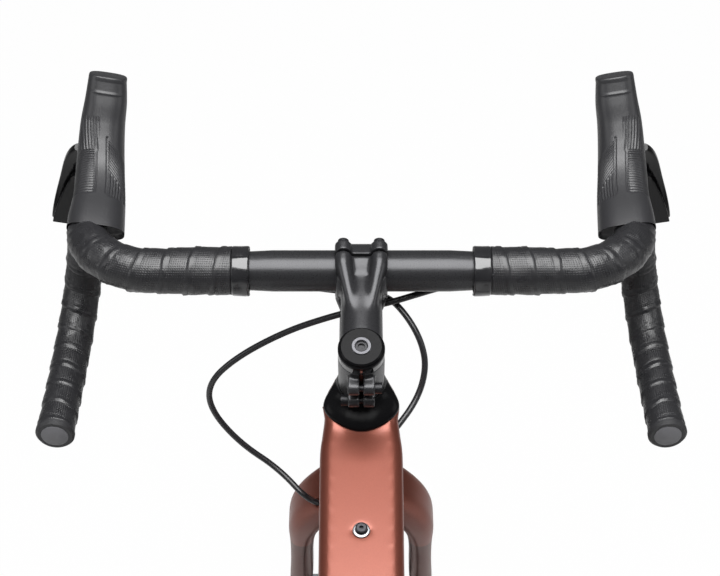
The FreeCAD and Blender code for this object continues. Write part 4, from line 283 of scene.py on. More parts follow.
def through(stations, value):
    """The values at a place along (place, values...) stations, on a smooth line through them."""
    last = len(stations) - 1
    i = max(j for j in range(last) if j == 0 or stations[j][0] <= value)
    a, b = stations[i], stations[i + 1]
    before, after = stations[max(i - 1, 0)], stations[min(i + 2, last)]
    span = b[0] - a[0]
    t = (value - a[0]) / span
    found = []
    for k in range(1, len(a)):
        leaving = (b[k] - before[k]) / (b[0] - before[0]) * span
        coming = (after[k] - a[k]) / (after[0] - a[0]) * span
        found.append((2 * t ** 3 - 3 * t ** 2 + 1) * a[k] + (t ** 3 - 2 * t ** 2 + t) * leaving
                     + (3 * t ** 2 - 2 * t ** 3) * b[k] + (t ** 3 - t ** 2) * coming)
    return found


def ramp(value, low, high):
    """0 up to low, rising to 1 at high and staying there."""
    return min(max((value - low) / (high - low), 0.0), 1.0)


def window(value, low, high, edge):
    """1 between low and high, falling to 0 over edge outside them."""
    rise = min(max((value - low) / edge + 1, 0.0), 1.0)
    fall = min(max((high - value) / edge + 1, 0.0), 1.0)
    return rise * fall


def wave(phase):
    """0 at whole numbers and 1 halfway between them."""
    return 0.5 - 0.5 * math.cos(FULL_TURN * phase)


def rounded(value, power):
    """A sine or cosine that squares off a round section."""
    return math.copysign(abs(value) ** power, value)


# Materials

FINISH = {}


def node(owner, kind, inputs=None, **settings):
    """Add one node to a material or the world, set its properties, and set or link its inputs."""
    made = owner.node_tree.nodes.new(kind)
    for name, value in settings.items():
        setattr(made, name, value)
    for key, value in (inputs or {}).items():
        if isinstance(value, bpy.types.NodeSocket):
            owner.node_tree.links.new(value, made.inputs[key])
        else:
            made.inputs[key].default_value = value
    return made


def new_material(name, colour, roughness, **sockets):
    """A material whose shader has these values on its own sockets."""
    material = bpy.data.materials.new(name)
    material.use_nodes = True
    shader = material.node_tree.nodes["Principled BSDF"]
    shader.inputs["Base Color"].default_value = (*colour, 1)
    shader.inputs["Roughness"].default_value = roughness
    for socket, value in sockets.items():
        shader.inputs[socket.replace("_", " ")].default_value = value
    return material, shader


def feed(material, shader, **sockets):
    """Link outputs to the shader's sockets."""
    for socket, value in sockets.items():
        material.node_tree.links.new(value, shader.inputs[socket.replace("_", " ")])


TONE_PATCH = 40 * MM


def surface(name, colour, roughness, grain, depth, tone, spread, **sockets):
    """A material with a grain of a size and depth in mm, and a slow change of tone and gloss."""
    shade = linear(colour) if isinstance(colour, str) else colour
    material, shader = new_material(name, shade, roughness, **sockets)
    place = node(material, "ShaderNodeTexCoord").outputs["Object"]
    fine = node(material, "ShaderNodeTexNoise", {"Vector": place, "Scale": 1 / (grain * MM), "Detail": 3})
    cloud = node(material, "ShaderNodeTexNoise", {"Vector": place, "Scale": 1 / TONE_PATCH, "Detail": 4})
    bump = node(material, "ShaderNodeBump", {"Height": fine.outputs["Fac"], "Distance": depth * MM})
    gloss = node(material, "ShaderNodeMapRange", {
        "Value": fine.outputs["Fac"], "From Min": 0.3, "From Max": 0.7,
        "To Min": roughness - spread, "To Max": roughness + spread})
    base = shader.inputs["Base Color"].default_value[:3]
    dark, light = ([min(c * share, 1) for c in base] + [1] for share in (1 - tone, 1 + tone))
    toned = node(material, "ShaderNodeMix", {0: cloud.outputs["Fac"], 6: dark, 7: light}, data_type="RGBA")
    feed(material, shader, Normal=bump.outputs["Normal"], Roughness=gloss.outputs["Result"],
         Base_Color=toned.outputs[2])
    return material


# Real flakes are 0.05 mm across, so they are drawn at 0.7 mm to show.
FLAKE, FLAKE_PATCH, FLAKE_DEPTH = 0.7 * MM, 60 * MM, 0.02 * MM


def make_copper(name):
    """Metallic lacquer: flakes under a satin clear coat, which turn violet-grey where light grazes them."""
    material, shader = new_material(
        name, colours().copper, 0.34, Metallic=0.7, Coat_Weight=0.35, Coat_Roughness=0.22,
        Specular_Tint=(*linear("#c9aca6"), 1))
    place = node(material, "ShaderNodeTexCoord").outputs["Object"]
    flakes = node(material, "ShaderNodeTexVoronoi", {"Vector": place, "Scale": 1 / FLAKE})
    cloud = node(material, "ShaderNodeTexNoise", {"Vector": place, "Scale": 1 / FLAKE_PATCH, "Detail": 2})
    amount = node(material, "ShaderNodeMath", {0: flakes.outputs["Color"], 1: cloud.outputs["Fac"]},
                  operation="MULTIPLY")
    dark, light = ([min(c * share, 1) for c in colours().copper] + [1] for share in (0.92, 1.16))
    toned = node(material, "ShaderNodeMix", {0: amount.outputs[0], 6: dark, 7: light}, data_type="RGBA")
    bump = node(material, "ShaderNodeBump", {"Height": flakes.outputs["Distance"], "Distance": FLAKE_DEPTH})
    feed(material, shader, Base_Color=toned.outputs[2], Normal=bump.outputs["Normal"])
    return material, shader


# Heights over the steering joint's place: where the painted shade on the legs ends and the bare steerer
# starts.
LEG_LINE, STEERER_LINE, LINE_EDGE = -128 * MM, 3 * MM, 0.3 * MM


def make_fork_paint():
    """The frame's lacquer, with a painted shade on the legs below a fine line, and a bare carbon steerer."""
    material, shader = make_copper("copper_lacquer_with_painted_leg_shade")
    place = node(material, "ShaderNodeTexCoord").outputs["Object"]
    height = node(material, "ShaderNodeVectorMath", {0: place, 1: STEER_AXIS}, operation="DOT_PRODUCT")
    colour = shader.inputs["Base Color"].links[0].from_socket
    # Below LEG_LINE the legs take a painted shade, a darker copper; above STEERER_LINE the steerer is bare
    # carbon, its own colour.
    leg_shade_and_steerer = ((LEG_LINE, colours().painted_leg_shade, 1.0, 0.0), (STEERER_LINE, linear("#161617"), 0.0, 1.0))
    for line, other, below, above in leg_shade_and_steerer:
        level = STEER_AXIS.dot(STEER_FOOT) + line
        past = node(material, "ShaderNodeMapRange", {
            "Value": height.outputs["Value"], "From Min": level - LINE_EDGE, "From Max": level + LINE_EDGE,
            "To Min": below, "To Max": above})
        coat = {0: past.outputs["Result"], 6: colour, 7: (*other, 1)}
        colour = node(material, "ShaderNodeMix", coat, data_type="RGBA").outputs[2]
    feed(material, shader, Base_Color=colour)
    return material


DIMPLE, CREASE_SIZE, EMBOSS = 1.7 * MM, 8 * MM, 0.14 * MM


def make_tape_material():
    """Embossed polyurethane tape: rows of dimples, creased and glossy, fainter along one border."""
    material, shader = new_material("embossed_polyurethane", colours().tape, 0.36)
    strip = node(material, "ShaderNodeUVMap", uv_map="UVMap").outputs["UV"]
    place = node(material, "ShaderNodeTexCoord").outputs["Object"]
    dimples = node(material, "ShaderNodeTexVoronoi", {
        "Vector": strip, "Scale": 1 / DIMPLE, "Randomness": 0.1})
    dimple = node(material, "ShaderNodeMapRange", {
        "Value": dimples.outputs["Distance"], "From Min": 0.14, "From Max": 0.36})
    crease = node(material, "ShaderNodeTexNoise", {
        "Vector": place, "Scale": 1 / CREASE_SIZE, "Detail": 3, "Distortion": 0.5})
    across = node(material, "ShaderNodeSeparateXYZ", {"Vector": strip}).outputs["X"]
    turn = node(material, "ShaderNodeMath", {0: across, 1: sizes().tape_pitch}, operation="DIVIDE")
    share = node(material, "ShaderNodeMath", {0: turn.outputs[0]}, operation="FRACT")
    border = node(material, "ShaderNodeMapRange", {
        "Value": share.outputs[0], "From Min": 0.72, "From Max": 0.8, "To Min": 1.0, "To Max": 0.5})
    deep = node(material, "ShaderNodeMath", {0: dimple.outputs["Result"], 1: border.outputs["Result"]},
                operation="MULTIPLY")
    height = node(material, "ShaderNodeMath", {0: crease.outputs["Fac"], 1: 1.6, 2: deep.outputs[0]},
                  operation="MULTIPLY_ADD")
    bump = node(material, "ShaderNodeBump", {"Height": height.outputs[0], "Distance": EMBOSS})
    gloss = node(material, "ShaderNodeMapRange", {
        "Value": crease.outputs["Fac"], "From Min": 0.35, "From Max": 0.65, "To Min": 0.26, "To Max": 0.38})
    feed(material, shader, Normal=bump.outputs["Normal"], Roughness=gloss.outputs["Result"])
    return material


def make_materials():
    """Every finish of the bicycle, by its short name."""
    FINISH["copper"] = make_copper("copper_lacquer")[0]
    FINISH["fork"] = make_fork_paint()
    FINISH["tape"] = make_tape_material()
    # Gloss polyurethane lacquer: black and clear, with sharp reflections.
    FINISH["gloss"] = surface("black_gloss_lacquer", "#111112", roughness=0.1, grain=6, depth=0.003,
                              tone=0.1, spread=0.02, Coat_Weight=0.6, Coat_Roughness=0.04)
    # Moulded polyamide of the headset cover and the top cap: deep black, polished but dim.
    FINISH["cover"] = surface("polished_polyamide", "#0d0d0e", roughness=0.2, grain=5, depth=0.003, tone=0.1,
                              spread=0.03, Specular_IOR_Level=0.06)
    # Bead-blasted and anodised aluminium: a fine dull grain and a broad highlight.
    FINISH["anodised"] = surface("black_anodised_aluminium", "#2f2f31", roughness=0.3, grain=0.7, depth=0.02,
                                 tone=0.12, spread=0.05, Metallic=0.45)
    # Carbon laminate under a matt clear coat: nearly black, with a dim broad highlight.
    FINISH["carbon"] = surface("matt_carbon", "#262628", roughness=0.46, grain=1.2, depth=0.02, tone=0.18,
                               spread=0.08, Coat_Weight=0.15, Coat_Roughness=0.4)
    # Moulded elastomer: half matt, with a spark-eroded grain.
    FINISH["rubber"] = surface("moulded_elastomer", colours().rubber, roughness=0.4, grain=0.6, depth=0.015,
                               tone=0.08, spread=0.05)
    # Vinyl tape: thin, shiny and a little slack.
    FINISH["vinyl"] = surface("vinyl_tape", "#1b1b1d", roughness=0.2, grain=7, depth=0.25, tone=0.2,
                              spread=0.06, Coat_Weight=0.5, Coat_Roughness=0.08)
    # Forged aluminium under smooth black lacquer: deep black, with small clear reflections.
    FINISH["lever"] = surface("lever_lacquer", "#0b0b0c", roughness=0.13, grain=3, depth=0.005, tone=0.1,
                              spread=0.04, Specular_IOR_Level=0.3)
    # Stainless steel, brushed and polished: bright, with soft reflections.
    FINISH["steel"] = surface("stainless_steel", "#c6c6ca", roughness=0.24, grain=0.9, depth=0.008,
                              tone=0.08, spread=0.06, Metallic=1.0)
    # Steel with an oiled black oxide film: dark grey, with a metal glint.
    FINISH["oxide"] = surface("black_oxide_steel", "#37373a", roughness=0.34, grain=0.8, depth=0.012,
                              tone=0.15, spread=0.08, Metallic=0.8)
    # Small bolts with a dull black oxide film: nearly black, with little glint.
    FINISH["bolts"] = surface("dull_black_oxide", "#17171a", roughness=0.42, grain=0.8, depth=0.012,
                              tone=0.15, spread=0.06, Metallic=0.5)
    # Bead-blasted steel of the ring round the cap's bolt: an even dark grey.
    FINISH["ring"] = surface("bead_blasted_steel", "#4a4a4d", roughness=0.36, grain=0.6, depth=0.012,
                             tone=0.1, spread=0.06, Metallic=0.8)
    # Nickel plated steel of the washers, the sprockets and the chain: mid grey and half bright.
    FINISH["nickel"] = surface("nickel_plated_steel", "#8f8f92", roughness=0.33, grain=1.0, depth=0.012,
                               tone=0.14, spread=0.08, Metallic=1.0)
    # Tyre rubber: dull, with a dusty tone over the casing.
    FINISH["tyre"] = surface("tyre_rubber", "#262627", roughness=0.76, grain=1.0, depth=0.05, tone=0.2,
                             spread=0.08, Sheen_Weight=0.12)
    # Glass-filled nylon, moulded: matt black, with a fine grain.
    FINISH["nylon"] = surface("glass_filled_nylon", "#202022", roughness=0.52, grain=0.8, depth=0.03,
                              tone=0.15, spread=0.06)
    # Microfibre with a pebbled leather grain: matt, with a soft sheen at its edges.
    FINISH["saddle"] = surface("saddle_microfibre", "#202022", roughness=0.56, grain=1.5, depth=0.14,
                               tone=0.15, spread=0.08, Sheen_Weight=0.2)
    # Moulded nylon of the end plugs' faces: an even mid grey.
    FINISH["grey"] = surface("grey_nylon", "#616164", roughness=0.42, grain=0.8, depth=0.015, tone=0.1,
                             spread=0.05)
    # Extruded polyamide hose: smooth, half gloss.
    FINISH["hose"] = surface("polyamide_hose", "#1f1f21", roughness=0.32, grain=2.5, depth=0.008, tone=0.1,
                             spread=0.05)


# Frame and fork

WASHER = [(4.7, -3.1), (6.4, -3.1), (6.2, -2.2), (5.7, -1.9), (4.7, -1.9), (4.7, -3.1)]


def bolt_heads(node_name):
    """The middle of the top of two bolts that stand one behind the other, and their direction."""
    places = points_of(node_name)
    split = centre_of(node_name).y
    middles = []
    for group in ([p for p in places if p.y > split], [p for p in places if p.y <= split]):
        ends = [(min(p[k] for p in group), max(p[k] for p in group)) for k in range(3)]
        middles.append(Vector([(low + high) / 2 for low, high in ends]))
    up = (middles[1] - middles[0]).cross(Vector((1, 0, 0))).normalized()
    return [(middle + up * (reach(node_name, up) - middle.dot(up)), up) for middle in middles]


def make_frame():
    """The frame tubes and stays as one laid-up shell, and the fork as another."""
    head = centre_of("headset_bearings") - STEER_SIDE * (20 * MM)
    cluster = centre_of("seat_clamp") - SEAT_AXIS * (40 * MM)
    bracket = centre_of("bottom_bracket")
    blend_skin("frame_skin", ("front_triangle", "seat_stays", "chain_stays"), "frame", "copper_paint",
               "copper", cell=sizes().frame_cell, passes=5,
               junctions=[(head, 90 * MM), (cluster, 70 * MM), (bracket, 80 * MM)])
    shoulders = STEER_FOOT - STEER_AXIS * (30 * MM)
    blend_skin("fork_skin", ("fork",), "steering", "copper_paint", "fork", cell=1.7 * MM, passes=8,
               junctions=[(shoulders, 70 * MM)])
    for i, (top, up) in enumerate(bolt_heads("top_tube_bolts")):
        settle(turned(f"top_tube_washer_{i}", top, up, WASHER), "frame", "steel", "nickel")
    dress("cover", "headset_cover")
    dress("steel", "headset_bearings", "bottle_inserts")
    dress("oxide", "top_tube_bolts", "seat_clamp", "bottom_bracket")
    dress("oxide", "rear_axle", "front_axle", "derailleur_hanger")


# Handlebar

# The bar's bends from its middle to the right end, in mm, then distances along it: where the tape starts,
# and the lever's clamp, which it leaves free.
DROP_BEND = [(0, 0, 0), (178, 0, 0), (210, 24, 0), (219, 62, -6), (223, 84, -34), (229, 82, -78),
             (236, 52, -112), (239, 8, -121), (241.5, -50, -124)]
TAPE_START, CLAMP_START, CLAMP_END = 99.2 * MM, 242.3 * MM, 255.7 * MM
FINISHING_WIDTH = 13.2 * MM
PLUG_FACE = [(0, 0.5), (10.3, 0.5), (10.8, 0.2), (10.8, -0.4), (0, -0.4)]


def bent_line(points, share=0.45, step=1.0 * MM):
    """Points along straight runs joined by tangent arcs, as the middle line of a bent tube."""
    line = [points[0]]
    for before, corner, after in zip(points, points[1:], points[2:]):
        coming, leaving = corner - before, after - corner
        setback = share * min(coming.length, leaving.length)
        start, half = corner - coming.normalized() * setback, coming.angle(leaving) / 2
        inward = (leaving.normalized() - coming.normalized()).normalized()
        middle = corner + inward * (setback / math.sin(half))
        axis = coming.cross(leaving).normalized()
        steps = max(int(2 * setback / step), 2)
        for i in range(steps + 1):
            line.append(middle + Matrix.Rotation(2 * half * i / steps, 3, axis) @ (start - middle))
    line.append(points[-1])
    return line


def frames_along(line, distances):
    """The point, direction and two square directions at rising distances, carried without twist."""
    found, up, i, done = [], Vector((0, 0, 1)), 0, 0.0
    for distance in distances:
        while i < len(line) - 2 and distance > done + (line[i + 1] - line[i]).length:
            done += (line[i + 1] - line[i]).length
            i += 1
        ahead = (line[i + 1] - line[i]).normalized()
        up = (up - ahead * up.dot(ahead)).normalized()
        found.append((line[i] + ahead * (distance - done), ahead, up, ahead.cross(up)))
    return found


BAR_LINE = bent_line([BAR + Vector(point) * MM for point in DROP_BEND])
BAR_LENGTH = sum((b - a).length for a, b in zip(BAR_LINE, BAR_LINE[1:]))


def tape_radius(distance):
    """Outside of the tape on the tapering bar; on the tops the hose under it makes it fuller."""
    place = distance / MM
    clamp, taper, tape, fuller = 15.9, 4.0, 2.9, 0.2
    bar = clamp - taper * ramp(place, 68, 150)
    if place < 249:
        fuller = 2.9 * ramp(place, 60, 130) - 1.6 * ramp(place, 150, 249)
    return (bar + tape + fuller) * MM


def tape_run(name, begin, finish):
    """A run of tape whose turns overlap along a helix, each edge a step down to the next turn."""
    pitch, step = sizes().tape_pitch, sizes().tape_step
    edge, border = 0.955, 0.74
    rows, columns = int((finish - begin) / (1.1 * MM)), 60
    frames = frames_along(BAR_LINE, [begin + (finish - begin) * i / rows for i in range(rows + 1)])

    def place(u, v):
        point, ahead, up, side = frames[round(u * rows)]
        angle = math.pi + FULL_TURN * v
        out = up * math.cos(angle) + side * math.sin(angle)
        spot = point + out * (20 * MM)
        distance = begin + (finish - begin) * u
        wander = noise.noise(spot / (11 * MM))
        turn = (distance / pitch - v + 0.05 * wander) % 1.0
        rise = turn if turn < edge else (1 - turn) / (1 - edge)
        groove = math.exp(-((turn - border) / 0.03) ** 2)
        crease = noise.noise(spot / (5 * MM)) * window(turn, 0.72, 1.0, 0.08)
        bends = 0.3 + 0.7 * window(distance / MM, 190, 330, 25)
        pucker = max(noise.noise(spot / (3.5 * MM)), 0.0) * bends
        rough = 0.4 * crease - 0.4 * groove + 0.3 * wander + 0.9 * pucker
        return point + out * (tape_radius(distance) + step * (rise - 0.62) + rough * MM)

    tape = shaped_grid(name, rows, columns, place)
    for corner in tape.data.uv_layers.active.data:
        u, v = corner.uv
        corner.uv = (begin + (finish - begin) * u - pitch * v, v * FULL_TURN * 16 * MM)
    modify(tape, "SOLIDIFY", thickness=2.0 * MM, offset=-1.0)
    return tape


def finishing_band(name):
    """Two turns of thin shiny tape, with slack wrinkles and an overlapping end."""
    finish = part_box("finishing_tape")[1].x
    begin = finish - FINISHING_WIDTH

    def place(u, v):
        angle = FULL_TURN * v
        cosine, sine = math.cos(angle), math.sin(angle)
        wrinkle = noise.noise(Vector((u * 1.2, 2.2 * cosine, 2.2 * sine)))
        edge = 0.5 * MM * (1 - window(u, 0.06, 0.94, 0.06))
        end = 0.35 * MM * window(v, 0.30, 0.72, 0.01)
        radius = tape_radius(finish) + 0.25 * MM + 0.45 * MM * wrinkle + end - edge
        shift = 0.6 * MM * noise.noise(Vector((3 * cosine, 3 * sine, 4)))
        along = begin + (finish - begin) * u + shift * (1 - u)
        return BAR + Vector((along, radius * cosine, radius * sine))

    band = shaped_grid(name, 26, 120, place)
    modify(band, "SOLIDIFY", thickness=1.6 * MM, offset=-1.0)
    return band


def make_handlebar():
    """Tape, finishing bands, end plugs and the bar itself."""
    dress("anodised", "handlebar")
    for run, begin, finish in (("tops", TAPE_START, CLAMP_START), ("drop", CLAMP_END, BAR_LENGTH)):
        settle_pair(tape_run(f"bar_tape_{run}_right", begin, finish), f"bar_tape_{run}_left",
                    "steering", "tape", "tape", "bar_tape")
    settle_pair(finishing_band("finishing_tape_right"), "finishing_tape_left",
                "steering", "finishing", "vinyl", "finishing_tape")
    dress("nylon", "bar_end_plugs")
    ahead = (BAR_LINE[-1] - BAR_LINE[-2]).normalized()
    face = BAR_LINE[-1] + ahead * (reach("bar_end_plugs", ahead, 1) - BAR_LINE[-1].dot(ahead))
    settle_pair(turned("plug_face_right", face, ahead, PLUG_FACE), "plug_face_left",
                "steering", "plug", "grey")


# Levers

# The right lever's lean on the flared bar, the pin of its blade and, from there, its clamp on the bar.
LEVER_TURN = Matrix.Rotation(math.radians(-10.6), 3, "Y")
LEVER_PIVOT = Vector(JOINTS["brake_pull_right"]["pos_m"])
LEVER_CLAMP = LEVER_PIVOT - LEVER_TURN @ (Vector((0, 86, -9)) * MM)
# Stations of the hood: number, ahead, up, tilt in degrees, shift outwards, width and height in mm, and
# how far each lies along the hood's curved middle line.
HOOD = [(0, 0, 1, 36, -7, 46, 46), (1, 12, 3, 24, -6.5, 45, 43), (2, 34, 6, 12, -6, 42, 41),
        (3, 58, 12, 20, -3.7, 40, 43), (4, 78, 24, 40, -1.5, 38, 46), (5, 91, 41, 56, 0, 36, 41),
        (6, 99, 57, 62, 0, 34, 34), (7, 107, 72, 64, 1, 31, 27)]
HOOD_LENGTHS = list(enumerate([0, 12, 34, 59, 82, 103, 121, 138]))
HOOD_CREASE, HOOD_SQUARENESS = 129, 2.7


def hood_grooves(along, across):
    """Depth in mm of the moulded grip pattern at a place on the hood's upper side, across outwards."""
    ribs = wave(along / 2.7) * window(along, 26, 72, 1.5) * window(across, 6.5, 30, 1.0)
    fan = wave((across - 0.06 * (along - 74)) / 2.4) * window(along, 73, 104, 5) * window(across, 3, 16, 1.0)
    middle = sum(math.exp(-((across - line) / 0.5) ** 2) for line in (-4.4, 4.4)) * window(along, 27, 88, 2)
    slant = along - 1.4 * (across + 6)
    chevron = wave(slant / 3.6) * window(slant, 52, 84, 1) * window(across, -30, -6.2, 0.8)
    lines = wave(across / 2.3) * window(across, -20, -6.6, 0.8) * window(slant, -20, 49, 1)
    lines *= window(along, 24, 99, 1)
    return 0.9 * max(ribs, fan * 0.8, middle, chevron, lines)


def make_hood(name):
    """A moulded hood: a grip that rises into a horn, creased below its tip, with a rolled rear edge."""
    rows, columns, lip, cap = 310, 270, 12, 28

    def place(u, v):
        row = round(u * rows)
        angle = FULL_TURN * v - math.pi / 2
        run = ramp(row, lip, rows - cap) * (len(HOOD) - 1)
        ahead, up, tilt, shift, width, height = through(HOOD, run)
        along = through(HOOD_LENGTHS, run)[0]
        cosine, sine = math.cos(angle), math.sin(angle)
        x = rounded(cosine, 2 / HOOD_SQUARENESS) * width / 2
        z = rounded(sine, 2 / HOOD_SQUARENESS) * height / 2
        past = along - HOOD_CREASE
        z += max(sine, 0.0) * (0.06 * max(past, 0.0) + 0.5 * math.exp(-(past / 1.1) ** 2))
        depth = hood_grooves(along, x) if sine > -0.25 else 0.0
        scale = 1 - depth / math.hypot(x, z)
        forward = 0.0
        if row < lip:
            roll = row / lip
            scale *= 0.0 if row == 0 else 0.80 + 0.20 * math.sqrt(max(1 - (1 - roll) ** 2, 0))
            forward = 5.0 * (1 - roll) ** 2
        if row > rows - cap:
            dome = (row - rows + cap) / cap
            scale *= (1 - dome ** 4) ** (1 / 4)
            forward = 4.5 * (1 - (1 - dome) ** 2)
        turn = math.radians(tilt)
        local = Vector((shift + x * scale, ahead + math.cos(turn) * forward - math.sin(turn) * z * scale,
                        up + math.sin(turn) * forward + math.cos(turn) * z * scale))
        return LEVER_CLAMP + LEVER_TURN @ (local * MM)

    return shaped_grid(name, rows, columns, place)


def make_levers():
    """Rubber hoods, and the finish of the levers, paddles and brackets."""
    settle_pair(make_hood("lever_hood_right"), "lever_hood_left",
                "steering", "hood_rubber", "rubber", "lever_hoods")
    dress("lever", "brake_lever_left", "brake_lever_right", "shift_paddle_left", "shift_paddle_right")
    dress("nylon", "lever_brackets")


# Stem and headset

CAP_RING = [(4.4, -0.6), (7.4, -0.6), (7.4, 0.3), (6.9, 0.8), (5.0, 0.8), (4.4, 0.3), (4.4, -0.6)]


def make_stem():
    """The forged stem and its faceplate as blended castings, and the pieces on top of the steerer."""
    ridges = [(BAR + Vector((10 * side, -32, 6)) * MM, 34 * MM) for side in (-1, 1)]
    blend_skin("stem_skin", ("stem",), "steering", "satin_black", "anodised", cell=0.8 * MM, passes=6,
               junctions=ridges, junction_passes=160)
    blend_skin("faceplate_skin", ("stem_faceplate",), "steering", "satin_black", "anodised",
               cell=0.7 * MM, passes=5)
    dress("bolts", "cockpit_bolts")
    dress("cover", "top_cap")
    dress("gloss", "stem_spacer")
    face = STEER_FOOT + STEER_AXIS * (reach("top_cap", STEER_AXIS) - STEER_FOOT.dot(STEER_AXIS))
    settle(turned("cap_bolt_ring", face, STEER_AXIS, CAP_RING), "steering", "steel", "ring")
    dress("nylon", "steerer_plug")


# Hoses

# Routes in mm from the bar's middle, their ends in mm from the steering joint's place, and the last
# stretch into the frame.
FRONT_HOSE = [(85.5, 8, -16.5), (62, 4, -20), (42, -1.6, -23), (24, -3, -29), (4, -3, -35), (-25, -3, -44.5),
              (-60, -3, -60), (-98, -8, -82), (-122, -10, -108), (-123, -8, -140), (-100, -13, -174),
              (-67, -22, -196)]
FRONT_HOSE_END = [(-41, -24, -11), (-30, -13, -34)]
REAR_HOSE = [(-85.5, 8, -16.5), (-62, 10, -20), (-30, 12, -29), (0, 13, -33), (21, 10, -34), (36, -4, -43),
             (47, -18, -57), (51, -28, -76), (44, -42, -97)]
HOSE_PORT, PORT_DEPTH = (24, -9, 88), (-9, -7, -7)


def hose_tube(name, points, radius=2.5 * MM):
    """A round hose on a smooth line led by the route's points."""
    bpy.ops.object.select_all(action="DESELECT")
    line = bpy.data.curves.new(name, "CURVE")
    line.dimensions = "3D"
    spline = line.splines.new("NURBS")
    spline.points.add(len(points) - 1)
    for point, place in zip(spline.points, points):
        point.co = (*place, 1)
    spline.order_u = 3
    spline.use_endpoint_u = True
    spline.resolution_u = 10
    line.bevel_depth, line.bevel_resolution, line.use_fill_caps = radius, 5, True
    hose = bpy.data.objects.new(name, line)
    bpy.context.collection.objects.link(hose)
    take(hose)
    bpy.ops.object.convert(target="MESH")
    close_up(bpy.context.object)
    bpy.ops.object.shade_smooth()
    return bpy.context.object


def make_hoses():
    """The two brake hoses between the bar tape and the frame."""
    steer = Matrix((Vector((1, 0, 0)), STEER_SIDE, STEER_AXIS)).transposed()
    route = [BAR + Vector(point) * MM for point in FRONT_HOSE]
    route += [STEER_FOOT + steer @ (Vector(point) * MM) for point in FRONT_HOSE_END]
    settle(hose_tube("front_brake_hose_tube", route), "steering", "carbon_black", "hose", "front_brake_hose")
    port = STEER_FOOT + steer @ (Vector(HOSE_PORT) * MM)
    route = [BAR + Vector(point) * MM for point in REAR_HOSE] + [port, port + Vector(PORT_DEPTH) * MM]
    hose = hose_tube("rear_brake_hose_tube", route)
    hose.data.materials.append(FINISH["hose"])
    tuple(route[3])
    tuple(route[-2])
    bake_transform(hose)
    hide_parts("rear_brake_hose")


# Wheels

TYRE_HALF, TYRE_DEPTH = 19.6 * MM, 18 * MM


def bead_of(tyre_name, axle):
    """Radius and half width of a packed tyre's beads."""
    places = [point - axle for point in points_of(tyre_name)]
    radius = min(math.hypot(place.y, place.z) for place in places)
    return radius, max(abs(place.x) for place in places if math.hypot(place.y, place.z) < radius + 0.5 * MM)


def make_tyre(name, axle, body, replaced, rim):
    """A casing with its beads inside the rim, and rows of tread blocks round it."""
    crown = WHEEL_RADIUS - sizes().tread_height
    middle = WHEEL_RADIUS - TYRE_DEPTH
    bead, half = bead_of(replaced, axle)
    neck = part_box(rim)[1].z - axle.z + 0.6 * MM
    leans = [math.radians(degrees) for degrees in range(-126, 127, 7)]
    section = [(TYRE_HALF * math.sin(lean), middle + (crown - middle) * math.cos(lean)) for lean in leans]
    section = [(-half, bead), (-half, neck)] + section + [(half, neck), (half, bead)]
    last = len(section) - 1

    def place(u, v):
        turn = FULL_TURN * u
        side, radius = section[round(v * last)]
        return axle + Vector((side, radius * math.sin(turn), radius * math.cos(turn)))

    tyre = shaped_grid(name, 180, last, place)
    modify(tyre, "SOLIDIFY", thickness=1.8 * MM, offset=-1.0)
    blocks = tread_blocks(name + "_blocks", axle, middle, crown - middle)
    bpy.ops.object.select_all(action="DESELECT")
    blocks.select_set(True)
    tyre.select_set(True)
    bpy.context.view_layer.objects.active = tyre
    bpy.ops.object.join()
    settle(tyre, body, "tyre", "tyre", replaced)


# Lean from the crown in degrees, width and length in mm, and step round the tyre in shares of a block.
TREAD_ROWS = [(0, 5.0, 6.5, 0.0), (17, 4.2, 5.4, 0.5), (-17, 4.2, 5.4, 0.5), (34, 4.4, 6.2, 0.0),
              (-34, 4.4, 6.2, 0.0), (54, 6.0, 8.0, 0.5), (-54, 6.0, 8.0, 0.5)]
BLOCK_TOP = (0.72, 0.78)


def tread_blocks(name, axle, middle, bulge):
    """Rows of tapered blocks: small ones at the centre and larger ones on the shoulders."""
    bpy.ops.object.select_all(action="DESELECT")
    bpy.ops.mesh.primitive_cube_add(size=1)
    block = bpy.context.object
    for vertex in block.data.vertices:
        if vertex.co.z > 0:
            vertex.co.x *= BLOCK_TOP[0]
            vertex.co.y *= BLOCK_TOP[1]
    corners = [vertex.co.copy() for vertex in block.data.vertices]
    faces = [tuple(face.vertices) for face in block.data.polygons]
    bpy.data.objects.remove(block)
    count, height = sizes().tread_count, sizes().tread_height
    points, sides = [], []
    for lean, wide, long, phase in TREAD_ROWS:
        angle = math.radians(lean)
        for i in range(count):
            turn = FULL_TURN * (i + phase) / count
            wheel = Matrix.Rotation(-turn, 3, "X") @ Matrix.Rotation(angle, 3, "Y")
            foot = Vector((TYRE_HALF * math.sin(angle), 0, middle + bulge * math.cos(angle)))
            foot = Matrix.Rotation(-turn, 3, "X") @ foot
            first = len(points)
            for corner in corners:
                local = Vector((corner.x * wide * MM, corner.y * long * MM, (corner.z + 0.42) * height))
                points.append(axle + foot + wheel @ local)
            sides += [tuple(first + k for k in face) for face in faces]
    mesh = bpy.data.meshes.new(name)
    mesh.from_pydata(points, [], sides)
    made = bpy.data.objects.new(name, mesh)
    bpy.context.collection.objects.link(made)
    return made


def make_wheels():
    """Tyres with their tread, and the finish of rims, spokes, hubs, rotors and calipers."""
    for which, axle in (("front", FRONT_AXLE), ("rear", REAR_AXLE)):
        make_tyre(f"{which}_tyre_tread", axle, f"{which}_wheel", f"{which}_tyre", f"{which}_rim")
        dress("carbon", f"{which}_rim")
        dress("oxide", f"{which}_spokes")
        dress("anodised", f"{which}_hub")
        dress("steel", f"{which}_rotor")
        dress("anodised", f"{which}_caliper")


# Saddle

# Stations of the padding: number, place along the saddle, width, height of its edge and crown, in mm.
SADDLE_FORM = [(0, -122, 96, 34, 14), (1, -108, 132, 30, 22), (2, -78, 143, 27, 28), (3, -40, 122, 25, 30),
               (4, 0, 84, 24, 30), (5, 40, 58, 24, 28), (6, 85, 44, 24, 25), (7, 124, 38, 25, 21),
               (8, 140, 28, 27, 13)]
SADDLE_END = 0.04


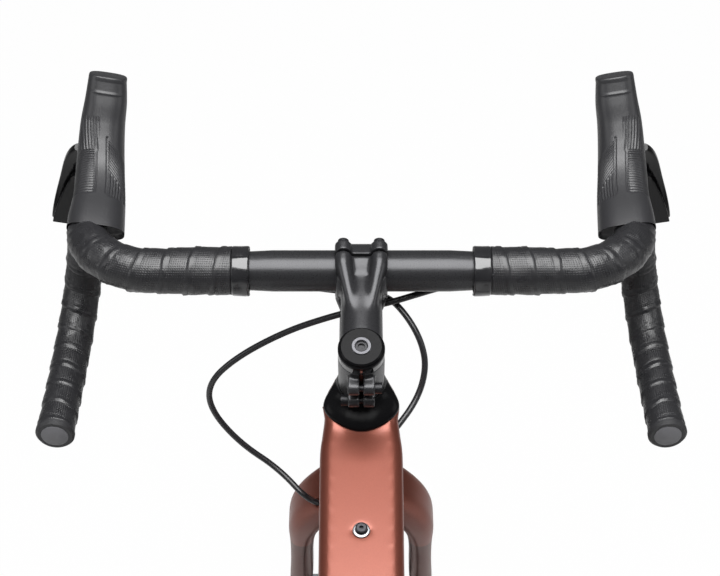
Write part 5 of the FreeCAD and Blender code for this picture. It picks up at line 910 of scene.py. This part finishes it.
def make_saddle():
    """A padded cover with a pressure channel, drawn in under its edge."""
    low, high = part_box("saddle_cover")
    seat = Vector((0, (low.y + high.y) / 2 - 9 * MM, low.z - 24 * MM))
    rows, columns = 140, 96

    def place(u, v):
        run = ramp(u, SADDLE_END, 1 - SADDLE_END) * (len(SADDLE_FORM) - 1)
        y, width, base, crown = through(SADDLE_FORM, run)
        end = min(u / SADDLE_END, (1 - u) / SADDLE_END, 1.0)
        shrink = math.sqrt(max(1 - (1 - end) ** 2, 0.0))
        angle = FULL_TURN * v - math.pi / 2
        cosine, sine = math.cos(angle), math.sin(angle)
        x = rounded(cosine, 0.75) * width / 2 * shrink
        z = base + crown / 2 + rounded(sine, 0.8) * crown / 2 * shrink
        if sine < 0:
            x *= 1 - 0.12 * (-sine)
        channel = 4.5 * math.exp(-(x / 9) ** 2) * window(y, -95, 60, 40) * max(sine, 0)
        return seat + Vector((x, y, z - channel)) * MM

    pad = shaped_grid("saddle_pad", rows, columns, place)
    settle(pad, "seat", "saddle_cover", "saddle", "saddle_cover")
    dress("nylon", "saddle_shell")
    dress("oxide", "saddle_rails", "saddle_clamp")
    dress("carbon", "seatpost")


# Drivetrain

def make_drivetrain():
    """The finish of the chain, cassette, cranks, pedals and derailleur."""
    dress("nickel", "chain", "cassette")
    dress("anodised", "chainring", "crank_arms", "pedal_left", "pedal_right")
    dress("anodised", "derailleur_b_knuckle", "derailleur_link", "derailleur_p_knuckle", "derailleur_cage")
    dress("nylon", "guide_pulley", "tension_pulley")


# Stage

CAMERA_PLACE = Vector((-1, -756.2, 1853.4)) * MM
CAMERA_DOWN = math.radians(40.77)
SENSOR, FOCAL_PIXELS, IMAGE_WIDTH = 36.0, 1930, 720
# Name, place, aim and size in metres, and power in watts.
LAMPS = [("overhead", (0, -0.15, 3.2), (0, -0.1, 0.9), (2.4, 2.5), 175),
         ("left", (-3.0, -0.6, 1.9), (0, 0.1, 0.7), (1.4, 1.8), 16),
         ("right", (3.0, -0.2, 1.9), (0, 0.1, 0.7), (1.4, 1.8), 14)]
FLOOR_WHITE, STUDIO_LIGHT = 0.98, 0.12


def make_floor():
    """A matt floor that is white to the camera."""
    bpy.ops.object.select_all(action="DESELECT")
    bpy.ops.mesh.primitive_plane_add(size=30)
    floor = bpy.context.object
    floor.name = "floor"
    material, shader = new_material("pale_floor", linear("#c4c4c4"), 0.9)
    path = node(material, "ShaderNodeLightPath")
    share = node(material, "ShaderNodeMath", {0: path.outputs["Is Camera Ray"], 1: FLOOR_WHITE},
                 operation="MULTIPLY")
    glow = node(material, "ShaderNodeEmission", {"Color": (1, 1, 1, 1), "Strength": 1.0})
    both = node(material, "ShaderNodeMixShader", {
        0: share.outputs[0], 1: shader.outputs[0], 2: glow.outputs[0]})
    output = material.node_tree.nodes["Material Output"]
    material.node_tree.links.new(both.outputs[0], output.inputs["Surface"])
    floor.data.materials.append(material)


def make_world():
    """A dim studio that is white to the camera."""
    world = bpy.data.worlds.new("studio")
    bpy.context.scene.world = world
    world.use_nodes = True
    back = world.node_tree.nodes["Background"]
    path = node(world, "ShaderNodeLightPath")
    level = node(world, "ShaderNodeMapRange", {
        "Value": path.outputs["Is Camera Ray"], "To Min": STUDIO_LIGHT, "To Max": 1.0})
    world.node_tree.links.new(level.outputs["Result"], back.inputs["Strength"])
    back.inputs["Color"].default_value = (1, 1, 1, 1)


def make_stage():
    """A pale floor, soft lamps and the camera behind and above the bar."""
    make_floor()
    make_world()
    for name, place, aim, size, power in LAMPS:
        bpy.ops.object.light_add(type="AREA", location=place)
        lamp = bpy.context.object
        lamp.name = f"{name}_softbox"
        lamp.rotation_euler = (Vector(aim) - Vector(place)).to_track_quat("-Z", "Y").to_euler()
        lamp.data.shape, lamp.data.size, lamp.data.size_y, lamp.data.energy = "RECTANGLE", *size, power
        lamp.visible_camera = False
    bpy.ops.object.camera_add(location=CAMERA_PLACE, rotation=(math.pi / 2 - CAMERA_DOWN, 0, 0))
    camera = bpy.context.object
    camera.data.sensor_width, camera.data.lens = SENSOR, SENSOR * FOCAL_PIXELS / IMAGE_WIDTH
    camera.data.clip_end = 100
    bpy.context.scene.camera = camera
    bpy.context.scene.view_settings.view_transform = "Standard"


# Operators and panel

class BIKE_OT_materials(bpy.types.Operator):
    """Mix every paint, rubber, metal and cloth of the bicycle"""
    bl_idname = "bike.materials"
    bl_label = "Finishes"

    def execute(self, context):
        make_materials()
        return {"FINISHED"}


class BIKE_OT_frame(bpy.types.Operator):
    """Blend the frame and the fork and set the washers of the top tube bolts"""
    bl_idname = "bike.frame"
    bl_label = "Frame and fork"

    def execute(self, context):
        make_frame()
        return {"FINISHED"}


class BIKE_OT_handlebar(bpy.types.Operator):
    """Wind the tape and the finishing bands and close the bar's ends"""
    bl_idname = "bike.handlebar"
    bl_label = "Handlebar and tape"

    def execute(self, context):
        make_handlebar()
        return {"FINISHED"}


class BIKE_OT_levers(bpy.types.Operator):
    """Mould the rubber hoods and finish the levers and paddles"""
    bl_idname = "bike.levers"
    bl_label = "Hoods and levers"

    def execute(self, context):
        make_levers()
        return {"FINISHED"}


class BIKE_OT_stem(bpy.types.Operator):
    """Blend the stem and its faceplate and finish the top of the steerer"""
    bl_idname = "bike.stem"
    bl_label = "Stem and headset"

    def execute(self, context):
        make_stem()
        return {"FINISHED"}


class BIKE_OT_hoses(bpy.types.Operator):
    """Lead the two brake hoses from the tape to the fork and the frame"""
    bl_idname = "bike.hoses"
    bl_label = "Brake hoses"

    def execute(self, context):
        make_hoses()
        return {"FINISHED"}


class BIKE_OT_wheels(bpy.types.Operator):
    """Mould the tyres with their tread and finish the wheels and brakes"""
    bl_idname = "bike.wheels"
    bl_label = "Wheels"

    def execute(self, context):
        make_wheels()
        return {"FINISHED"}


class BIKE_OT_saddle(bpy.types.Operator):
    """Pad the saddle and finish its shell, rails and post"""
    bl_idname = "bike.saddle"
    bl_label = "Saddle"

    def execute(self, context):
        make_saddle()
        return {"FINISHED"}


class BIKE_OT_drivetrain(bpy.types.Operator):
    """Finish the chain, cassette, cranks, pedals and derailleur"""
    bl_idname = "bike.drivetrain"
    bl_label = "Drivetrain"

    def execute(self, context):
        make_drivetrain()
        return {"FINISHED"}


class BIKE_OT_stage(bpy.types.Operator):
    """Set up the floor, the lamps and the camera"""
    bl_idname = "bike.stage"
    bl_label = "Stage"

    def execute(self, context):
        make_stage()
        return {"FINISHED"}


STEPS = [BIKE_OT_materials, BIKE_OT_frame, BIKE_OT_handlebar, BIKE_OT_levers, BIKE_OT_stem,
         BIKE_OT_hoses, BIKE_OT_wheels, BIKE_OT_saddle, BIKE_OT_drivetrain, BIKE_OT_stage]


class BIKE_PT_panel(bpy.types.Panel):
    """The sizes, the colours and the steps of the model, in order"""
    bl_idname = "BIKE_PT_panel"
    bl_label = "Gravel bicycle"
    bl_space_type = "VIEW_3D"
    bl_region_type = "UI"
    bl_category = "Bicycle"

    def draw(self, context):
        for settings in (sizes(), colours()):
            for name in type(settings).__annotations__:
                self.layout.prop(settings, name)
        for step in STEPS:
            self.layout.operator(step.bl_idname)


CLASSES = [BikeColours, BikeSizes, *STEPS, BIKE_PT_panel]


def register():
    """Add the settings, the steps and the panel to Blender."""
    for part in CLASSES:
        bpy.utils.register_class(part)
    bpy.types.Scene.bike_colours = PointerProperty(type=BikeColours)
    bpy.types.Scene.bike_sizes = PointerProperty(type=BikeSizes)


def unregister():
    """Take the settings, the steps and the panel out again."""
    del bpy.types.Scene.bike_sizes
    del bpy.types.Scene.bike_colours
    for part in reversed(CLASSES):
        bpy.utils.unregister_class(part)


def main():
    """Build the bicycle step by step."""
    register()
    bpy.ops.bike.materials()
    bpy.ops.bike.frame()
    bpy.ops.bike.handlebar()
    bpy.ops.bike.levers()
    bpy.ops.bike.stem()
    bpy.ops.bike.hoses()
    bpy.ops.bike.wheels()
    bpy.ops.bike.saddle()
    bpy.ops.bike.drivetrain()
    bpy.ops.bike.stage()


if __name__ == "__main__":
    main()
